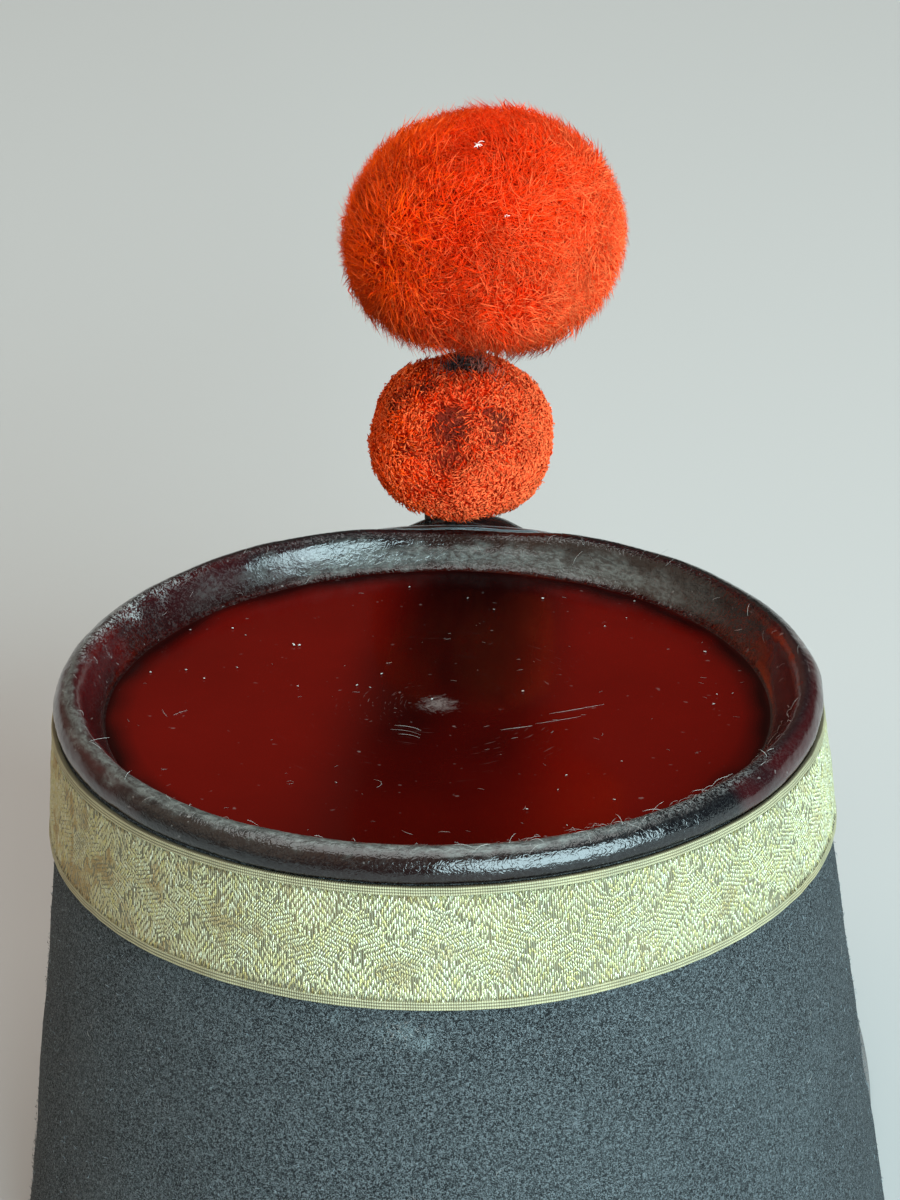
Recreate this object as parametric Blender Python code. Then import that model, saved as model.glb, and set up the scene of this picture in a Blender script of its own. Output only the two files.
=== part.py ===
"""Shako hat: cloth-covered body, patent leather crown and peak, metal lace and two pompoms.

Units are metres.  The hat's front is +Y, up is +Z, and it rests on its lower edge at z = 0.
The body is an oval tube lofted through three ovals.  The two upper ovals, the crown, the
lace and everything on them are laid out in the crown's own plane, which slopes down to the
front.  An oval's angle is 0 at the front and a quarter turn at the hat's right side.
"""
import math
import random
from collections import namedtuple

import bmesh
import bpy
from mathutils import Vector

# ------------------------------------------------------------------ driving dimensions
GAP = 0.0003                       # clearance between pieces that touch

BASE_HALF_WIDTH = 0.0838           # outside of the lower edge
BASE_HALF_LENGTH = 0.0980
PEAK_FRONT = 0.1430                # from the base's middle to the peak's front edge
BASE_Y = (BASE_HALF_LENGTH - PEAK_FRONT) / 2     # puts the whole hat's middle over the origin

CROWN_TILT = math.radians(10.0)    # the crown slopes down to the front
CROWN_RISE = 0.1168                # height of the crown plane over the base's middle
CROWN_FORWARD = 0.0198             # and how far it sits to the front
CROWN_ASIDE = -0.0029              # the old hat leans a little to its left

RIM_UNDERSIDE = -0.0057            # the rim's lower edge, under the crown plane
DISC_DEPTH = 0.0076                # the disc lies this far under the rim's crest
LEATHER = 0.0020                   # thickness of the crown's disc

WALL = 0.0025                      # cloth over felt and card
WALL_TOP = RIM_UNDERSIDE - GAP
WALL_CURVE = 0.35                  # under the lace: 0 is a straight wall, 1 a full parabola
LACE_WIDTH = 0.0250
LACE_THICKNESS = 0.0009
LACE_BULGE = 0.0003                # the lace stands out a little more in its middle
LACE_BULGE_START = 0.15            # share of the lace's width where the bulge begins
LACE_FOOT_SHARE = 0.78             # height share of the lace's lower edge on the wall

# ovals that lie parallel to the crown, with their middles' shift from the crown's middle
CrownPlan = namedtuple("CrownPlan", "half_width half_length aside forward height")
LACE_FOOT = CrownPlan(0.0722, 0.0748, 0.0008, 0.0022, WALL_TOP - LACE_WIDTH)
WALL_HEAD = CrownPlan(0.0696, 0.0732, 0.0003, -0.0004, WALL_TOP)
RIM = CrownPlan(0.0707, 0.0740, 0.0002, -0.0006, 0.0)

FRONT_TURN = math.radians(-1.6)    # tab, holder and pompoms sit a little left of the front
TAB_HALF_ANGLE = math.radians(14.3)
TAB_THICKNESS = 0.0016
TAB_TOP_SHARE = 1.024              # the tab and the holder stand up past the wall
TAB_FOOT_SHARE = 0.80
HOLDER_HALF_ANGLE = math.radians(12.0)
HOLDER_DEPTH = 0.0105
HOLDER_FOOT_DEPTH = 0.0065
HOLDER_EDGE = 0.0008
HOLDER_SHOULDER = 1.5              # over 1 makes the middle broader and the shoulders steeper
HOLDER_TOP_SHARE = 1.018
HOLDER_FOOT_SHARE = 0.84

POST_RADIUS = 0.0015
POST_FOOT = -0.0180                # lower end of the post, in crown heights
POST_LEAN_RIGHT = math.radians(6.0)
POST_IN_POMPOM = 0.0010            # the post ends this far inside the small pompom's outline
BORE_BELOW = 0.0800                # the bore's tool, below and above the small pompom's middle
BORE_ABOVE = 0.0200

POMPOM_OUT = 0.0825                # small pompom's middle, forward of the crown's middle
POMPOM_LIFT = 0.0141
POMPOM_ASIDE = -0.0031
POMPOM_SPACING = 0.0431            # between the two middles, along the post
SMALL_RADIUS = 0.0186
SMALL_HALF_HEIGHT = 0.0155
LARGE_RADIUS = 0.0282
LARGE_HALF_HEIGHT = 0.0238
LARGE_TOP_SHARE = 0.97             # the large pompom's flat tip, as a share of its half height
NECK_RADIUS = 0.0028
LOCK_TIP = 0.42                    # a lock's tip is this share of its root
LOCK_SHORTEST = 0.72               # the shortest lock, as a share of the longest
LOCK_DRIFT = 0.18                  # how far a tip strays to the side, as a share of its length

PIN_RADIUS = 0.00065
PIN_ASIDE = -0.0098
PIN_OUT = 0.0815
PIN_FOOT = -0.0035
PIN_TOP = -0.0014

PEAK_HALF_WIDTH = 0.0803
PEAK_HALF_ANGLE = math.radians(72.0)
PEAK_HORN_Y = 0.0310               # the horns' ends, forward of the base's middle
PEAK_ROOT = 0.0175                 # height of the peak's root on the wall
PEAK_DROP = 0.0120
PEAK_CURVE = 1.25                  # over 1 makes the peak fall more steeply towards its edge
PEAK_THICKNESS = 0.0025

# ------------------------------------------------------------------ facets and finishes
SIDES = 64                         # round the hat
BODY_ROWS = 8                      # on the wall's outside under the lace
INSIDE_ROWS = 6
LACE_ROWS = 3
TAB_COLUMNS = 8
HOLDER_COLUMNS = 14
FITTING_ROWS = 5                   # up the tab and the holder
PEAK_COLUMNS = 30
PEAK_ROWS = 4
POST_SIDES = 12
PIN_SIDES = 10
SHARP_EDGE = math.radians(40)
SHARP_LOCK = math.radians(25)

Finish = namedtuple("Finish", "name colour roughness metallic")
CLOTH = Finish("dark_cloth", (0.030, 0.038, 0.045), 0.95, 0.0)
CROWN_LEATHER = Finish("crown_leather", (0.055, 0.006, 0.004), 0.15, 0.0)
BLACK_LEATHER = Finish("black_leather", (0.012, 0.012, 0.013), 0.30, 0.0)
LACE = Finish("metal_lace", (0.52, 0.50, 0.34), 0.45, 0.6)
WOOL = Finish("red_wool", (0.72, 0.045, 0.012), 0.95, 0.0)
WIRE = Finish("dark_wire", (0.05, 0.045, 0.04), 0.40, 0.9)

# ------------------------------------------------------------------ frames and ovals
Oval = namedtuple("Oval", "half_width half_length centre along up")

RIGHT = Vector((1, 0, 0))
FORWARD = Vector((0, 1, 0))
UP = Vector((0, 0, 1))
CROWN_ALONG = Vector((0, math.cos(CROWN_TILT), -math.sin(CROWN_TILT)))
CROWN_UP = Vector((0, math.sin(CROWN_TILT), math.cos(CROWN_TILT)))
CROWN_CENTRE = Vector((CROWN_ASIDE, BASE_Y + CROWN_FORWARD, CROWN_RISE))


def crown_point(aside, forward, height):
    """A point given in the crown's plane."""
    return CROWN_CENTRE + RIGHT * aside + CROWN_ALONG * forward + CROWN_UP * height


def crown_oval(plan):
    """An oval that lies parallel to the crown."""
    centre = crown_point(plan.aside, plan.forward, plan.height)
    return Oval(plan.half_width, plan.half_length, centre, CROWN_ALONG, CROWN_UP)


BASE_OVAL = Oval(BASE_HALF_WIDTH, BASE_HALF_LENGTH, Vector((0, BASE_Y, 0)), FORWARD, UP)
LACE_FOOT_OVAL = crown_oval(LACE_FOOT)
WALL_HEAD_OVAL = crown_oval(WALL_HEAD)
RIM_OVAL = crown_oval(RIM)


def oval_point(oval, angle, grow=0.0, lift=0.0):
    """A point on an oval that is grown outwards and lifted off its plane."""
    across = RIGHT * ((oval.half_width + grow) * math.sin(angle))
    along = oval.along * ((oval.half_length + grow) * math.cos(angle))
    return oval.centre + across + along + oval.up * lift


def wall_point(angle, share, grow=0.0):
    """A point of the body's outer wall.

    share is 0 on the base oval, LACE_FOOT_SHARE on the lace's lower edge and 1 at the top.
    Behind the lace the wall is the parabola through the three ovals' points.  Under it the
    wall lies between that parabola and the straight line from the base to the lace.
    """
    middle = LACE_FOOT_SHARE
    weight_base = (share - middle) * (share - 1) / middle
    weight_middle = share * (share - 1) / (middle * (middle - 1))
    weight_head = share * (share - middle) / (1 - middle)
    if share < middle:
        straight = 1 - WALL_CURVE
        weight_base = WALL_CURVE * weight_base + straight * (1 - share / middle)
        weight_middle = WALL_CURVE * weight_middle + straight * share / middle
        weight_head = WALL_CURVE * weight_head
    return (oval_point(BASE_OVAL, angle, grow) * weight_base
            + oval_point(LACE_FOOT_OVAL, angle, grow) * weight_middle
            + oval_point(WALL_HEAD_OVAL, angle, grow) * weight_head)


def share_range(first, last, steps):
    """Evenly spaced values from first to last, both included."""
    return [first + (last - first) * step / steps for step in range(steps + 1)]


def turns_of(sides, twist=0.0):
    """The angles of a round's sides, turned on by a part of one side."""
    return [2 * math.pi * (side + twist) / sides for side in range(sides)]


# ------------------------------------------------------------------ mesh helpers
def material(finish):
    """A Principled BSDF material."""
    made = bpy.data.materials.new(finish.name)
    made.use_nodes = True
    shader = made.node_tree.nodes["Principled BSDF"]
    shader.inputs["Base Color"].default_value = (*finish.colour, 1.0)
    shader.inputs["Roughness"].default_value = finish.roughness
    shader.inputs["Metallic"].default_value = finish.metallic
    return made


def add_object(name, shape, finish, sharp=SHARP_EDGE):
    """Turn a bmesh into a named object with outward faces and smooth shading."""
    bmesh.ops.recalc_face_normals(shape, faces=shape.faces)
    mesh = bpy.data.meshes.new(name)
    shape.to_mesh(mesh)
    shape.free()
    mesh.materials.append(finish)
    mesh.shade_smooth()
    mesh.set_sharp_from_angle(angle=sharp)
    made = bpy.data.objects.new(name, mesh)
    bpy.context.collection.objects.link(made)
    made.parent = bpy.data.objects["shako"]
    return made


def bridge(shape, rows, round_rows=True, closed=True):
    """Join rows of vertices by quads.  round_rows closes each row, closed joins last to first."""
    pairs = list(zip(rows, rows[1:]))
    if closed:
        pairs.append((rows[-1], rows[0]))
    for low, high in pairs:
        count = len(low)
        for here in range(count if round_rows else count - 1):
            there = (here + 1) % count
            shape.faces.new((low[here], low[there], high[there], high[here]))


def vertex_rows(shape, rows):
    """Make the vertices of several rows of points."""
    return [[shape.verts.new(point) for point in row] for row in rows]


def slab(name, front, back, finish):
    """A closed sheet between two grids of points with the same rows and columns."""
    shape = bmesh.new()
    front_rows = vertex_rows(shape, front)
    back_rows = vertex_rows(shape, back)
    bridge(shape, front_rows, round_rows=False, closed=False)
    bridge(shape, back_rows, round_rows=False, closed=False)
    bridge(shape, [front_rows[0], back_rows[0]], round_rows=False, closed=False)
    bridge(shape, [front_rows[-1], back_rows[-1]], round_rows=False, closed=False)
    for column in (0, -1):
        bridge(shape, [[row[column] for row in front_rows], [row[column] for row in back_rows]],
               round_rows=False, closed=False)
    return add_object(name, shape, finish)


def rod(name, start, end, radius, sides, finish):
    """A round rod with flat ends."""
    axis = (end - start).normalized()
    side = axis.cross(FORWARD).normalized()
    other = axis.cross(side)
    shape = bmesh.new()
    rows = []
    for middle in (start, end):
        ring = [middle + (side * math.cos(turn) + other * math.sin(turn)) * radius
                for turn in turns_of(sides)]
        rows.append([shape.verts.new(point) for point in ring])
    bridge(shape, rows, closed=False)
    shape.faces.new(rows[0])
    shape.faces.new(rows[1])
    return add_object(name, shape, finish)


# ------------------------------------------------------------------ body, lace and crown
BEHIND_LACE = share_range(LACE_FOOT_SHARE, 1, LACE_ROWS)


def make_body(finish):
    """The oval tube, open at both ends, with its wall's true thickness."""
    outside = share_range(0, LACE_FOOT_SHARE, BODY_ROWS)[:-1] + BEHIND_LACE
    inside = share_range(1, 0, INSIDE_ROWS)
    shape = bmesh.new()
    rows = [[wall_point(angle, share) for angle in turns_of(SIDES)] for share in outside]
    rows += [[wall_point(angle, share, -WALL) for angle in turns_of(SIDES)] for share in inside]
    bridge(shape, vertex_rows(shape, rows))
    return add_object("body", shape, finish)


def make_lace(finish):
    """The lace, a thin band that lies on the wall and stands out most in its middle."""
    inner = GAP
    outer = GAP + LACE_THICKNESS
    section = [(LACE_FOOT_SHARE, inner), (LACE_FOOT_SHARE, outer)]
    for climb in share_range(LACE_BULGE_START, 1 - LACE_BULGE_START, LACE_ROWS):
        share = LACE_FOOT_SHARE + (1 - LACE_FOOT_SHARE) * climb
        section.append((share, outer + LACE_BULGE * math.sin(math.pi * climb)))
    section.append((1, outer))
    section += [(share, inner) for share in reversed(BEHIND_LACE[1:])]
    shape = bmesh.new()
    rows = [[wall_point(angle, share, grow) for angle in turns_of(SIDES)] for share, grow in section]
    bridge(shape, vertex_rows(shape, rows))
    return add_object("lace_band", shape, finish)


# the crown's section: inset from the rim's outside, and height over the rim's crest
CrownSection = namedtuple("CrownSection", "inset height")
CROWN_TOP_SIDE = (
    CrownSection(0.0108, -DISC_DEPTH),             # disc, where it starts to turn up
    CrownSection(0.0094, -DISC_DEPTH + 0.0003),
    CrownSection(0.0082, -DISC_DEPTH + 0.0014),
    CrownSection(0.0064, -0.0036),                 # inner slope
    CrownSection(0.0052, -0.0013),
    CrownSection(0.0044, -0.0003),
    CrownSection(0.0035, 0.0),                     # crest
    CrownSection(0.0024, -0.0003),
    CrownSection(0.0013, -0.0011),
    CrownSection(0.0004, -0.0024),
    CrownSection(0.0, -0.0038),                    # outermost
    CrownSection(0.0003, -0.0050),
    CrownSection(0.0010, RIM_UNDERSIDE),
)
CROWN_UNDERSIDE = (
    CrownSection(0.0050, RIM_UNDERSIDE),
    CrownSection(0.0096, -DISC_DEPTH - LEATHER + 0.0002),
    CrownSection(0.0112, -DISC_DEPTH - LEATHER),
)


def make_crown(finish):
    """The sunken disc and the rolled rim, one moulded piece that sits on the wall's top edge."""
    shape = bmesh.new()
    rows = [[oval_point(RIM_OVAL, angle, -place.inset, place.height) for angle in turns_of(SIDES)]
            for place in CROWN_TOP_SIDE + CROWN_UNDERSIDE]
    vertices = vertex_rows(shape, rows)
    bridge(shape, vertices, closed=False)
    shape.faces.new(vertices[0])
    shape.faces.new(vertices[-1])
    return add_object("crown_top", shape, finish)


# ------------------------------------------------------------------ post, tab and holder
POST_AXIS = (CROWN_UP + RIGHT * math.tan(POST_LEAN_RIGHT)).normalized()
POST_SIDE = POST_AXIS.cross(FORWARD).normalized()
POST_OTHER = POST_AXIS.cross(POST_SIDE)
SMALL_CENTRE = crown_point(POMPOM_ASIDE, POMPOM_OUT, POMPOM_LIFT)
POST_TOP = POST_IN_POMPOM - SMALL_HALF_HEIGHT
TAB_INNER = GAP + LACE_THICKNESS + LACE_BULGE + GAP
HOLDER_INNER = TAB_INNER + TAB_THICKNESS + GAP


def post_point(distance, turn=0.0, out=0.0):
    """A point beside the post's axis, measured up from the small pompom's middle."""
    outward = POST_SIDE * math.cos(turn) + POST_OTHER * math.sin(turn)
    return SMALL_CENTRE + POST_AXIS * distance + outward * out


def make_post(finish):
    """The post that carries both pompoms, through the holder's bore."""
    foot = (POST_FOOT - POMPOM_LIFT) / POST_AXIS.dot(CROWN_UP)
    return rod("pompom_post", post_point(foot), post_point(POST_TOP), POST_RADIUS, POST_SIDES, finish)


def make_pin(finish):
    """A short pin that stands on the holder's left shoulder."""
    foot = crown_point(PIN_ASIDE, PIN_OUT, PIN_FOOT)
    return rod("holder_pin", foot, crown_point(PIN_ASIDE, PIN_OUT, PIN_TOP), PIN_RADIUS, PIN_SIDES, finish)


def make_tab(finish):
    """The curved leather tab on the front, over the lace and up to the rim."""
    columns = share_range(FRONT_TURN - TAB_HALF_ANGLE, FRONT_TURN + TAB_HALF_ANGLE, TAB_COLUMNS)
    heights = share_range(TAB_FOOT_SHARE, TAB_TOP_SHARE, FITTING_ROWS)

    def sheet(grow):
        return [[wall_point(angle, share, grow) for angle in columns] for share in heights]

    return slab("pompom_tab", sheet(TAB_INNER + TAB_THICKNESS), sheet(TAB_INNER), finish)


def make_holder(finish):
    """A tapering leather pocket on the tab, bored through for the post."""
    columns = share_range(-1, 1, HOLDER_COLUMNS)
    heights = share_range(HOLDER_FOOT_SHARE, HOLDER_TOP_SHARE, FITTING_ROWS)

    def depth(column, share):
        climb = (share - HOLDER_FOOT_SHARE) / (HOLDER_TOP_SHARE - HOLDER_FOOT_SHARE)
        middle = HOLDER_FOOT_DEPTH + (HOLDER_DEPTH - HOLDER_FOOT_DEPTH) * climb
        bell = math.cos(math.pi / 2 * abs(column) ** HOLDER_SHOULDER) ** 2
        return HOLDER_EDGE + (middle - HOLDER_EDGE) * bell

    def angle(column):
        return FRONT_TURN + column * HOLDER_HALF_ANGLE

    back = [[wall_point(angle(column), share, HOLDER_INNER) for column in columns]
            for share in heights]
    front = [[wall_point(angle(column), share, HOLDER_INNER + depth(column, share))
              for column in columns] for share in heights]
    holder = slab("pompom_holder", front, back, finish)
    bore = rod("holder_bore", post_point(-BORE_BELOW), post_point(BORE_ABOVE),
               POST_RADIUS + GAP, POST_SIDES, finish)
    bore.hide_render = True
    bore.display_type = "WIRE"
    cut = holder.modifiers.new("bore", "BOOLEAN")
    cut.object = bore
    cut.operation = "DIFFERENCE"
    cut.solver = "EXACT"
    return holder


# ------------------------------------------------------------------ pompoms
NECK_MEET = (SMALL_HALF_HEIGHT + POMPOM_SPACING - LARGE_HALF_HEIGHT) / 2
LARGE_TOP = POMPOM_SPACING + LARGE_HALF_HEIGHT * LARGE_TOP_SHARE

Pompom = namedtuple("Pompom", "name middle radius half_height foot top rows columns lock_share seed")
POMPOMS = (
    Pompom("pompom_small", 0.0, SMALL_RADIUS, SMALL_HALF_HEIGHT, POST_TOP + GAP, NECK_MEET,
           rows=8, columns=14, lock_share=0.10, seed=3),
    Pompom("pompom_large", POMPOM_SPACING, LARGE_RADIUS, LARGE_HALF_HEIGHT, NECK_MEET + GAP, LARGE_TOP,
           rows=12, columns=20, lock_share=0.17, seed=7),
)


def make_pompom(pompom, finish):
    """A pompom: a round head whose every facet is drawn out into a tapering lock.

    The head is an ellipsoid at (1 - lock_share) of the full radius.  Short necks at its
    poles meet the post and the other pompom.  Every second row is turned by half a facet.
    """
    chance = random.Random(pompom.seed)
    centre = post_point(pompom.middle)
    head = 1 - pompom.lock_share
    head_radius = pompom.radius * head
    limit = math.acos(NECK_RADIUS / head_radius)

    def neck(distance):
        return [post_point(distance, turn, NECK_RADIUS) for turn in turns_of(pompom.columns)]

    rows = [neck(pompom.foot)]
    for row in range(pompom.rows + 1):
        latitude = -limit + 2 * limit * row / pompom.rows
        twist = 0.5 if row % 2 and row < pompom.rows else 0.0
        rise = pompom.middle + pompom.half_height * head * math.sin(latitude)
        rows.append([post_point(rise, turn, head_radius * math.cos(latitude))
                     for turn in turns_of(pompom.columns, twist)])
    rows.append(neck(pompom.top))

    shape = bmesh.new()
    vertices = vertex_rows(shape, rows)
    bridge(shape, vertices, closed=False)
    shape.faces.new(vertices[0])
    shape.faces.new(vertices[-1])
    on_necks = set(vertices[0]) | set(vertices[-1])
    facets = [face for face in shape.faces if not on_necks & set(face.verts)]
    for lock in bmesh.ops.extrude_discrete_faces(shape, faces=facets)["faces"]:
        middle = lock.calc_center_median()
        outward = (middle - centre).normalized()
        longest = (middle - centre).length * pompom.lock_share / head
        length = longest * chance.uniform(LOCK_SHORTEST, 1.0)
        drift = Vector([chance.uniform(-1, 1) for axis in range(3)]) * (LOCK_DRIFT * length)
        for corner in lock.verts:
            corner.co = middle + (corner.co - middle) * LOCK_TIP + outward * length + drift
    return add_object(pompom.name, shape, finish, SHARP_LOCK)


# ------------------------------------------------------------------ peak
def make_peak(finish):
    """A crescent of leather round the front, sloping down, with horns that hug the sides."""

    def root_point(angle, height):
        share = LACE_FOOT_SHARE * height / wall_point(angle, LACE_FOOT_SHARE).z
        point = wall_point(angle, share, 2 * GAP)
        point.z = height
        return point

    def edge_point(turn, height):
        return Vector((PEAK_HALF_WIDTH * math.sin(turn),
                       BASE_Y + PEAK_HORN_Y + (PEAK_FRONT - PEAK_HORN_Y) * math.cos(turn),
                       height))

    def sheet(height):
        grid = []
        for step in share_range(0, 1, PEAK_ROWS):
            row = []
            for column in share_range(-1, 1, PEAK_COLUMNS):
                root = root_point(column * PEAK_HALF_ANGLE, height)
                place = root.lerp(edge_point(column * math.pi / 2, height), step)
                place.z = height - PEAK_DROP * step ** PEAK_CURVE
                row.append(place)
            grid.append(row)
        return grid

    return slab("peak", sheet(PEAK_ROOT), sheet(PEAK_ROOT - PEAK_THICKNESS), finish)


# ------------------------------------------------------------------ the hat
def main():
    """Clear the scene and make every piece."""
    for old in list(bpy.data.objects):
        bpy.data.objects.remove(old, do_unlink=True)
    bpy.context.collection.objects.link(bpy.data.objects.new("shako", None))

    black_leather = material(BLACK_LEATHER)
    wool = material(WOOL)
    wire = material(WIRE)
    make_body(material(CLOTH))
    make_lace(material(LACE))
    make_crown(material(CROWN_LEATHER))
    make_tab(black_leather)
    make_holder(black_leather)
    make_post(wire)
    make_pin(wire)
    for pompom in POMPOMS:
        make_pompom(pompom, wool)
    make_peak(black_leather)


main()
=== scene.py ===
"""Shako hat: its visible surfaces, finishes and studio, built round the packed model.

Units are metres, in the packed model's frame: the hat's front is +Y, its right is +X, up is +Z
and it rests on z = 0.  An oval's angle is 0 at the front and a quarter turn at the right side.
The wall's share is 0 on the base and 1 at the top.  Every surface is a grid of points whose
profile runs from the top middle outwards, down and back inside, so that its faces point out.
"""
import math
from collections import namedtuple

import bpy
import numpy as np
from mathutils import Matrix, Vector


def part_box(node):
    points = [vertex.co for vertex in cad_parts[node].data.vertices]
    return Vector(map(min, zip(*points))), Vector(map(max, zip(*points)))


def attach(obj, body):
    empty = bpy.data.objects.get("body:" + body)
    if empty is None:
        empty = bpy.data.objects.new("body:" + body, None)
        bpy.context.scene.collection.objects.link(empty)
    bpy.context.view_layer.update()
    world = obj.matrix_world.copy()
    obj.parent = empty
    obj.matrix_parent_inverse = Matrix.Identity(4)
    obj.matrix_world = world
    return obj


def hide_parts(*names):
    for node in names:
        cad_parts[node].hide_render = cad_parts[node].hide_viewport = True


bl_info = {
    "name": "Shako Hat",
    "version": (1, 0, 0),
    "blender": (4, 5, 0),
    "location": "3D View > Sidebar > Shako",
    "description": "Cloth, lace, patent leather and wool pompoms for a shako hat",
    "category": "Add Mesh",
}

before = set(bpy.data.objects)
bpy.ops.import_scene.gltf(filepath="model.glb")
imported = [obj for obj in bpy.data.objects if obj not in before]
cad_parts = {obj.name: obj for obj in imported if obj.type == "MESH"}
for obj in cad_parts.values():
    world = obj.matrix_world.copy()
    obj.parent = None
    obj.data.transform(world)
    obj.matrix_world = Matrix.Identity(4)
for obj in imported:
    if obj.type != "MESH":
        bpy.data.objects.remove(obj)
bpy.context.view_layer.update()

# ---------------- driving sizes
GAP = 0.0003  # clearance between pieces that touch
BODY_LOW, BODY_HIGH = (np.array(corner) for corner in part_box("body"))
BASE_HALF_WIDTH = BODY_HIGH[0]
BASE_HALF_LENGTH = (BODY_HIGH[1] - BODY_LOW[1]) / 2
BASE_Y = (BODY_HIGH[1] + BODY_LOW[1]) / 2

CROWN_TILT = math.radians(10.0)  # the crown slopes down to the front
CROWN_CENTRE = np.array((-0.0029, BASE_Y + 0.0198, 0.1168))
RIM_UNDERSIDE = -0.0057  # the rim's lower edge, under the crown plane
DISC_DEPTH = 0.0076  # the disc lies this far under the rim's crest
LEATHER = 0.0020

WALL = 0.0025
WALL_TOP = RIM_UNDERSIDE - GAP
WALL_CURVE = 0.35  # under the lace: 0 is a straight wall, 1 a full parabola
LACE_WIDTH = 0.0250
LACE_THICKNESS = 0.0009
LACE_BULGE = 0.0003
LACE_FOOT_SHARE = 0.78  # height share of the lace's lower edge on the wall

CrownPlan = namedtuple("CrownPlan", "half_width half_length aside forward height")
LACE_FOOT = CrownPlan(0.0722, 0.0748, 0.0008, 0.0022, WALL_TOP - LACE_WIDTH)
WALL_HEAD = CrownPlan(0.0696, 0.0732, 0.0003, -0.0004, WALL_TOP)
RIM = CrownPlan(0.0707, 0.0740, 0.0002, -0.0006, 0.0)
HEAD_RADIUS = (WALL_HEAD.half_width + WALL_HEAD.half_length) / 2

FRONT_TURN = math.radians(-1.6)  # tab, holder and pompoms sit a little left of the front
TAB_HALF_ANGLE = math.radians(14.3)
TAB_THICKNESS = 0.0016
TAB_INNER = GAP + LACE_THICKNESS + LACE_BULGE + GAP
TAB_SHARES = (0.80, 1.024)  # foot and top of the tab on the wall
HOLDER_INNER = TAB_INNER + TAB_THICKNESS + GAP
HOLDER_HALF_ANGLE = math.radians(12.0)
HOLDER_DEPTHS = (0.0065, 0.0105)  # at its foot and top
HOLDER_EDGE = 0.0008
HOLDER_SHARES = (0.84, 1.018)

POST_RADIUS = 0.0015
POST_LEAN_RIGHT = math.radians(6.0)
POMPOM_PLACE = (-0.0031, 0.0825, 0.0141)  # small pompom's middle, from the crown's middle
POMPOM_SPACING = 0.0431
SMALL_SIZE = np.array((0.0186, 0.0186, 0.0155))  # half sizes, the last along the post
LARGE_SIZE = np.array((0.0282, 0.0282, 0.0238))

PEAK_FRONT = 0.1430
PEAK_HALF_WIDTH = 0.0803
PEAK_HALF_ANGLE = math.radians(72.0)
PEAK_HORN_Y = 0.0310
PEAK_ROOT = 0.0175
PEAK_DROP = 0.0120
PEAK_CURVE = 1.25
PEAK_THICKNESS = 0.0025

# ---------------- frames
RIGHT = np.array((1.0, 0.0, 0.0))
FORWARD = np.array((0.0, 1.0, 0.0))
UP = np.array((0.0, 0.0, 1.0))
CROWN_ALONG = np.array((0.0, math.cos(CROWN_TILT), -math.sin(CROWN_TILT)))
CROWN_UP = np.array((0.0, math.sin(CROWN_TILT), math.cos(CROWN_TILT)))
GOLDEN_ANGLE = math.pi * (3 - math.sqrt(5))
FULL_TURN = 2 * math.pi


def unit(vectors):
    """Vectors scaled to length one along the last axis."""
    return vectors / np.linalg.norm(vectors, axis=-1, keepdims=True)


POST_AXIS = unit(CROWN_UP + RIGHT * math.tan(POST_LEAN_RIGHT))
POST_SIDE = unit(np.cross(POST_AXIS, FORWARD))
POST_OTHER = np.cross(POST_AXIS, POST_SIDE)


def crown_points(aside, forward, height):
    """Points given in the crown's plane: its middle plus so much right, forward and up."""
    aside, forward, height = np.broadcast_arrays(aside, forward, height)
    return (CROWN_CENTRE + aside[..., None] * RIGHT + forward[..., None] * CROWN_ALONG
            + height[..., None] * CROWN_UP)


SMALL_CENTRE = crown_points(*POMPOM_PLACE)
LARGE_CENTRE = SMALL_CENTRE + POST_AXIS * POMPOM_SPACING


def plan_points(plan, angle, grow=0.0, lift=0.0):
    """Points of a crown oval: half width times sine right, half length times cosine forward."""
    return crown_points(plan.aside + (plan.half_width + grow) * np.sin(angle),
                        plan.forward + (plan.half_length + grow) * np.cos(angle),
                        plan.height + lift)


def base_points(angle, grow=0.0):
    """Points of the base oval, flat on z = 0."""
    aside, forward = np.broadcast_arrays((BASE_HALF_WIDTH + grow) * np.sin(angle),
                                         BASE_Y + (BASE_HALF_LENGTH + grow) * np.cos(angle))
    return aside[..., None] * RIGHT + forward[..., None] * FORWARD


def wall_points(angle, share, grow=0.0):
    """Points of the body's outer wall, grown outwards.

    Behind the lace the wall is the parabola through the base oval, the lace's lower oval and
    the top oval.  Under the lace it is 35 parts of that parabola to 65 of the straight line
    from the base to the lace.
    """
    angle, share, grow = np.broadcast_arrays(angle, share, grow)
    middle = LACE_FOOT_SHARE
    under = share < middle
    curve = np.where(under, WALL_CURVE, 1.0)
    line = 1 - curve
    base = curve * (share - middle) * (share - 1) / middle + line * (1 - share / middle)
    foot = curve * share * (share - 1) / (middle * (middle - 1)) + line * share / middle
    head = curve * share * (share - middle) / (1 - middle)
    return (base_points(angle, grow) * base[..., None]
            + plan_points(LACE_FOOT, angle, grow) * foot[..., None]
            + plan_points(WALL_HEAD, angle, grow) * head[..., None])


WALL_STEP = 0.004  # a small step, in radians round the wall or as a share of its height


def wall_headings(angle, share, grow, beside, chance):
    """Places on the wall, its outward normal there, and a random heading along it for each.

    The places are grown by grow, and the points beside them that give the slopes by beside.
    """
    places = wall_points(angle, share, grow)
    around = unit(wall_points(angle + WALL_STEP, share, beside) - places)
    rise = unit(wall_points(angle, share + WALL_STEP, beside) - places)
    heading = chance.uniform(0, FULL_TURN, len(angle))[:, None]
    return places, unit(np.cross(rise, around)), np.cos(heading) * around + np.sin(heading) * rise


def post_points(distance, turn=0.0, out=0.0):
    """Points round the post's axis, measured up from the small pompom's middle."""
    distance, turn, out = np.broadcast_arrays(distance, turn, out)
    outward = np.cos(turn)[..., None] * POST_SIDE + np.sin(turn)[..., None] * POST_OTHER
    return SMALL_CENTRE + distance[..., None] * POST_AXIS + out[..., None] * outward


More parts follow.
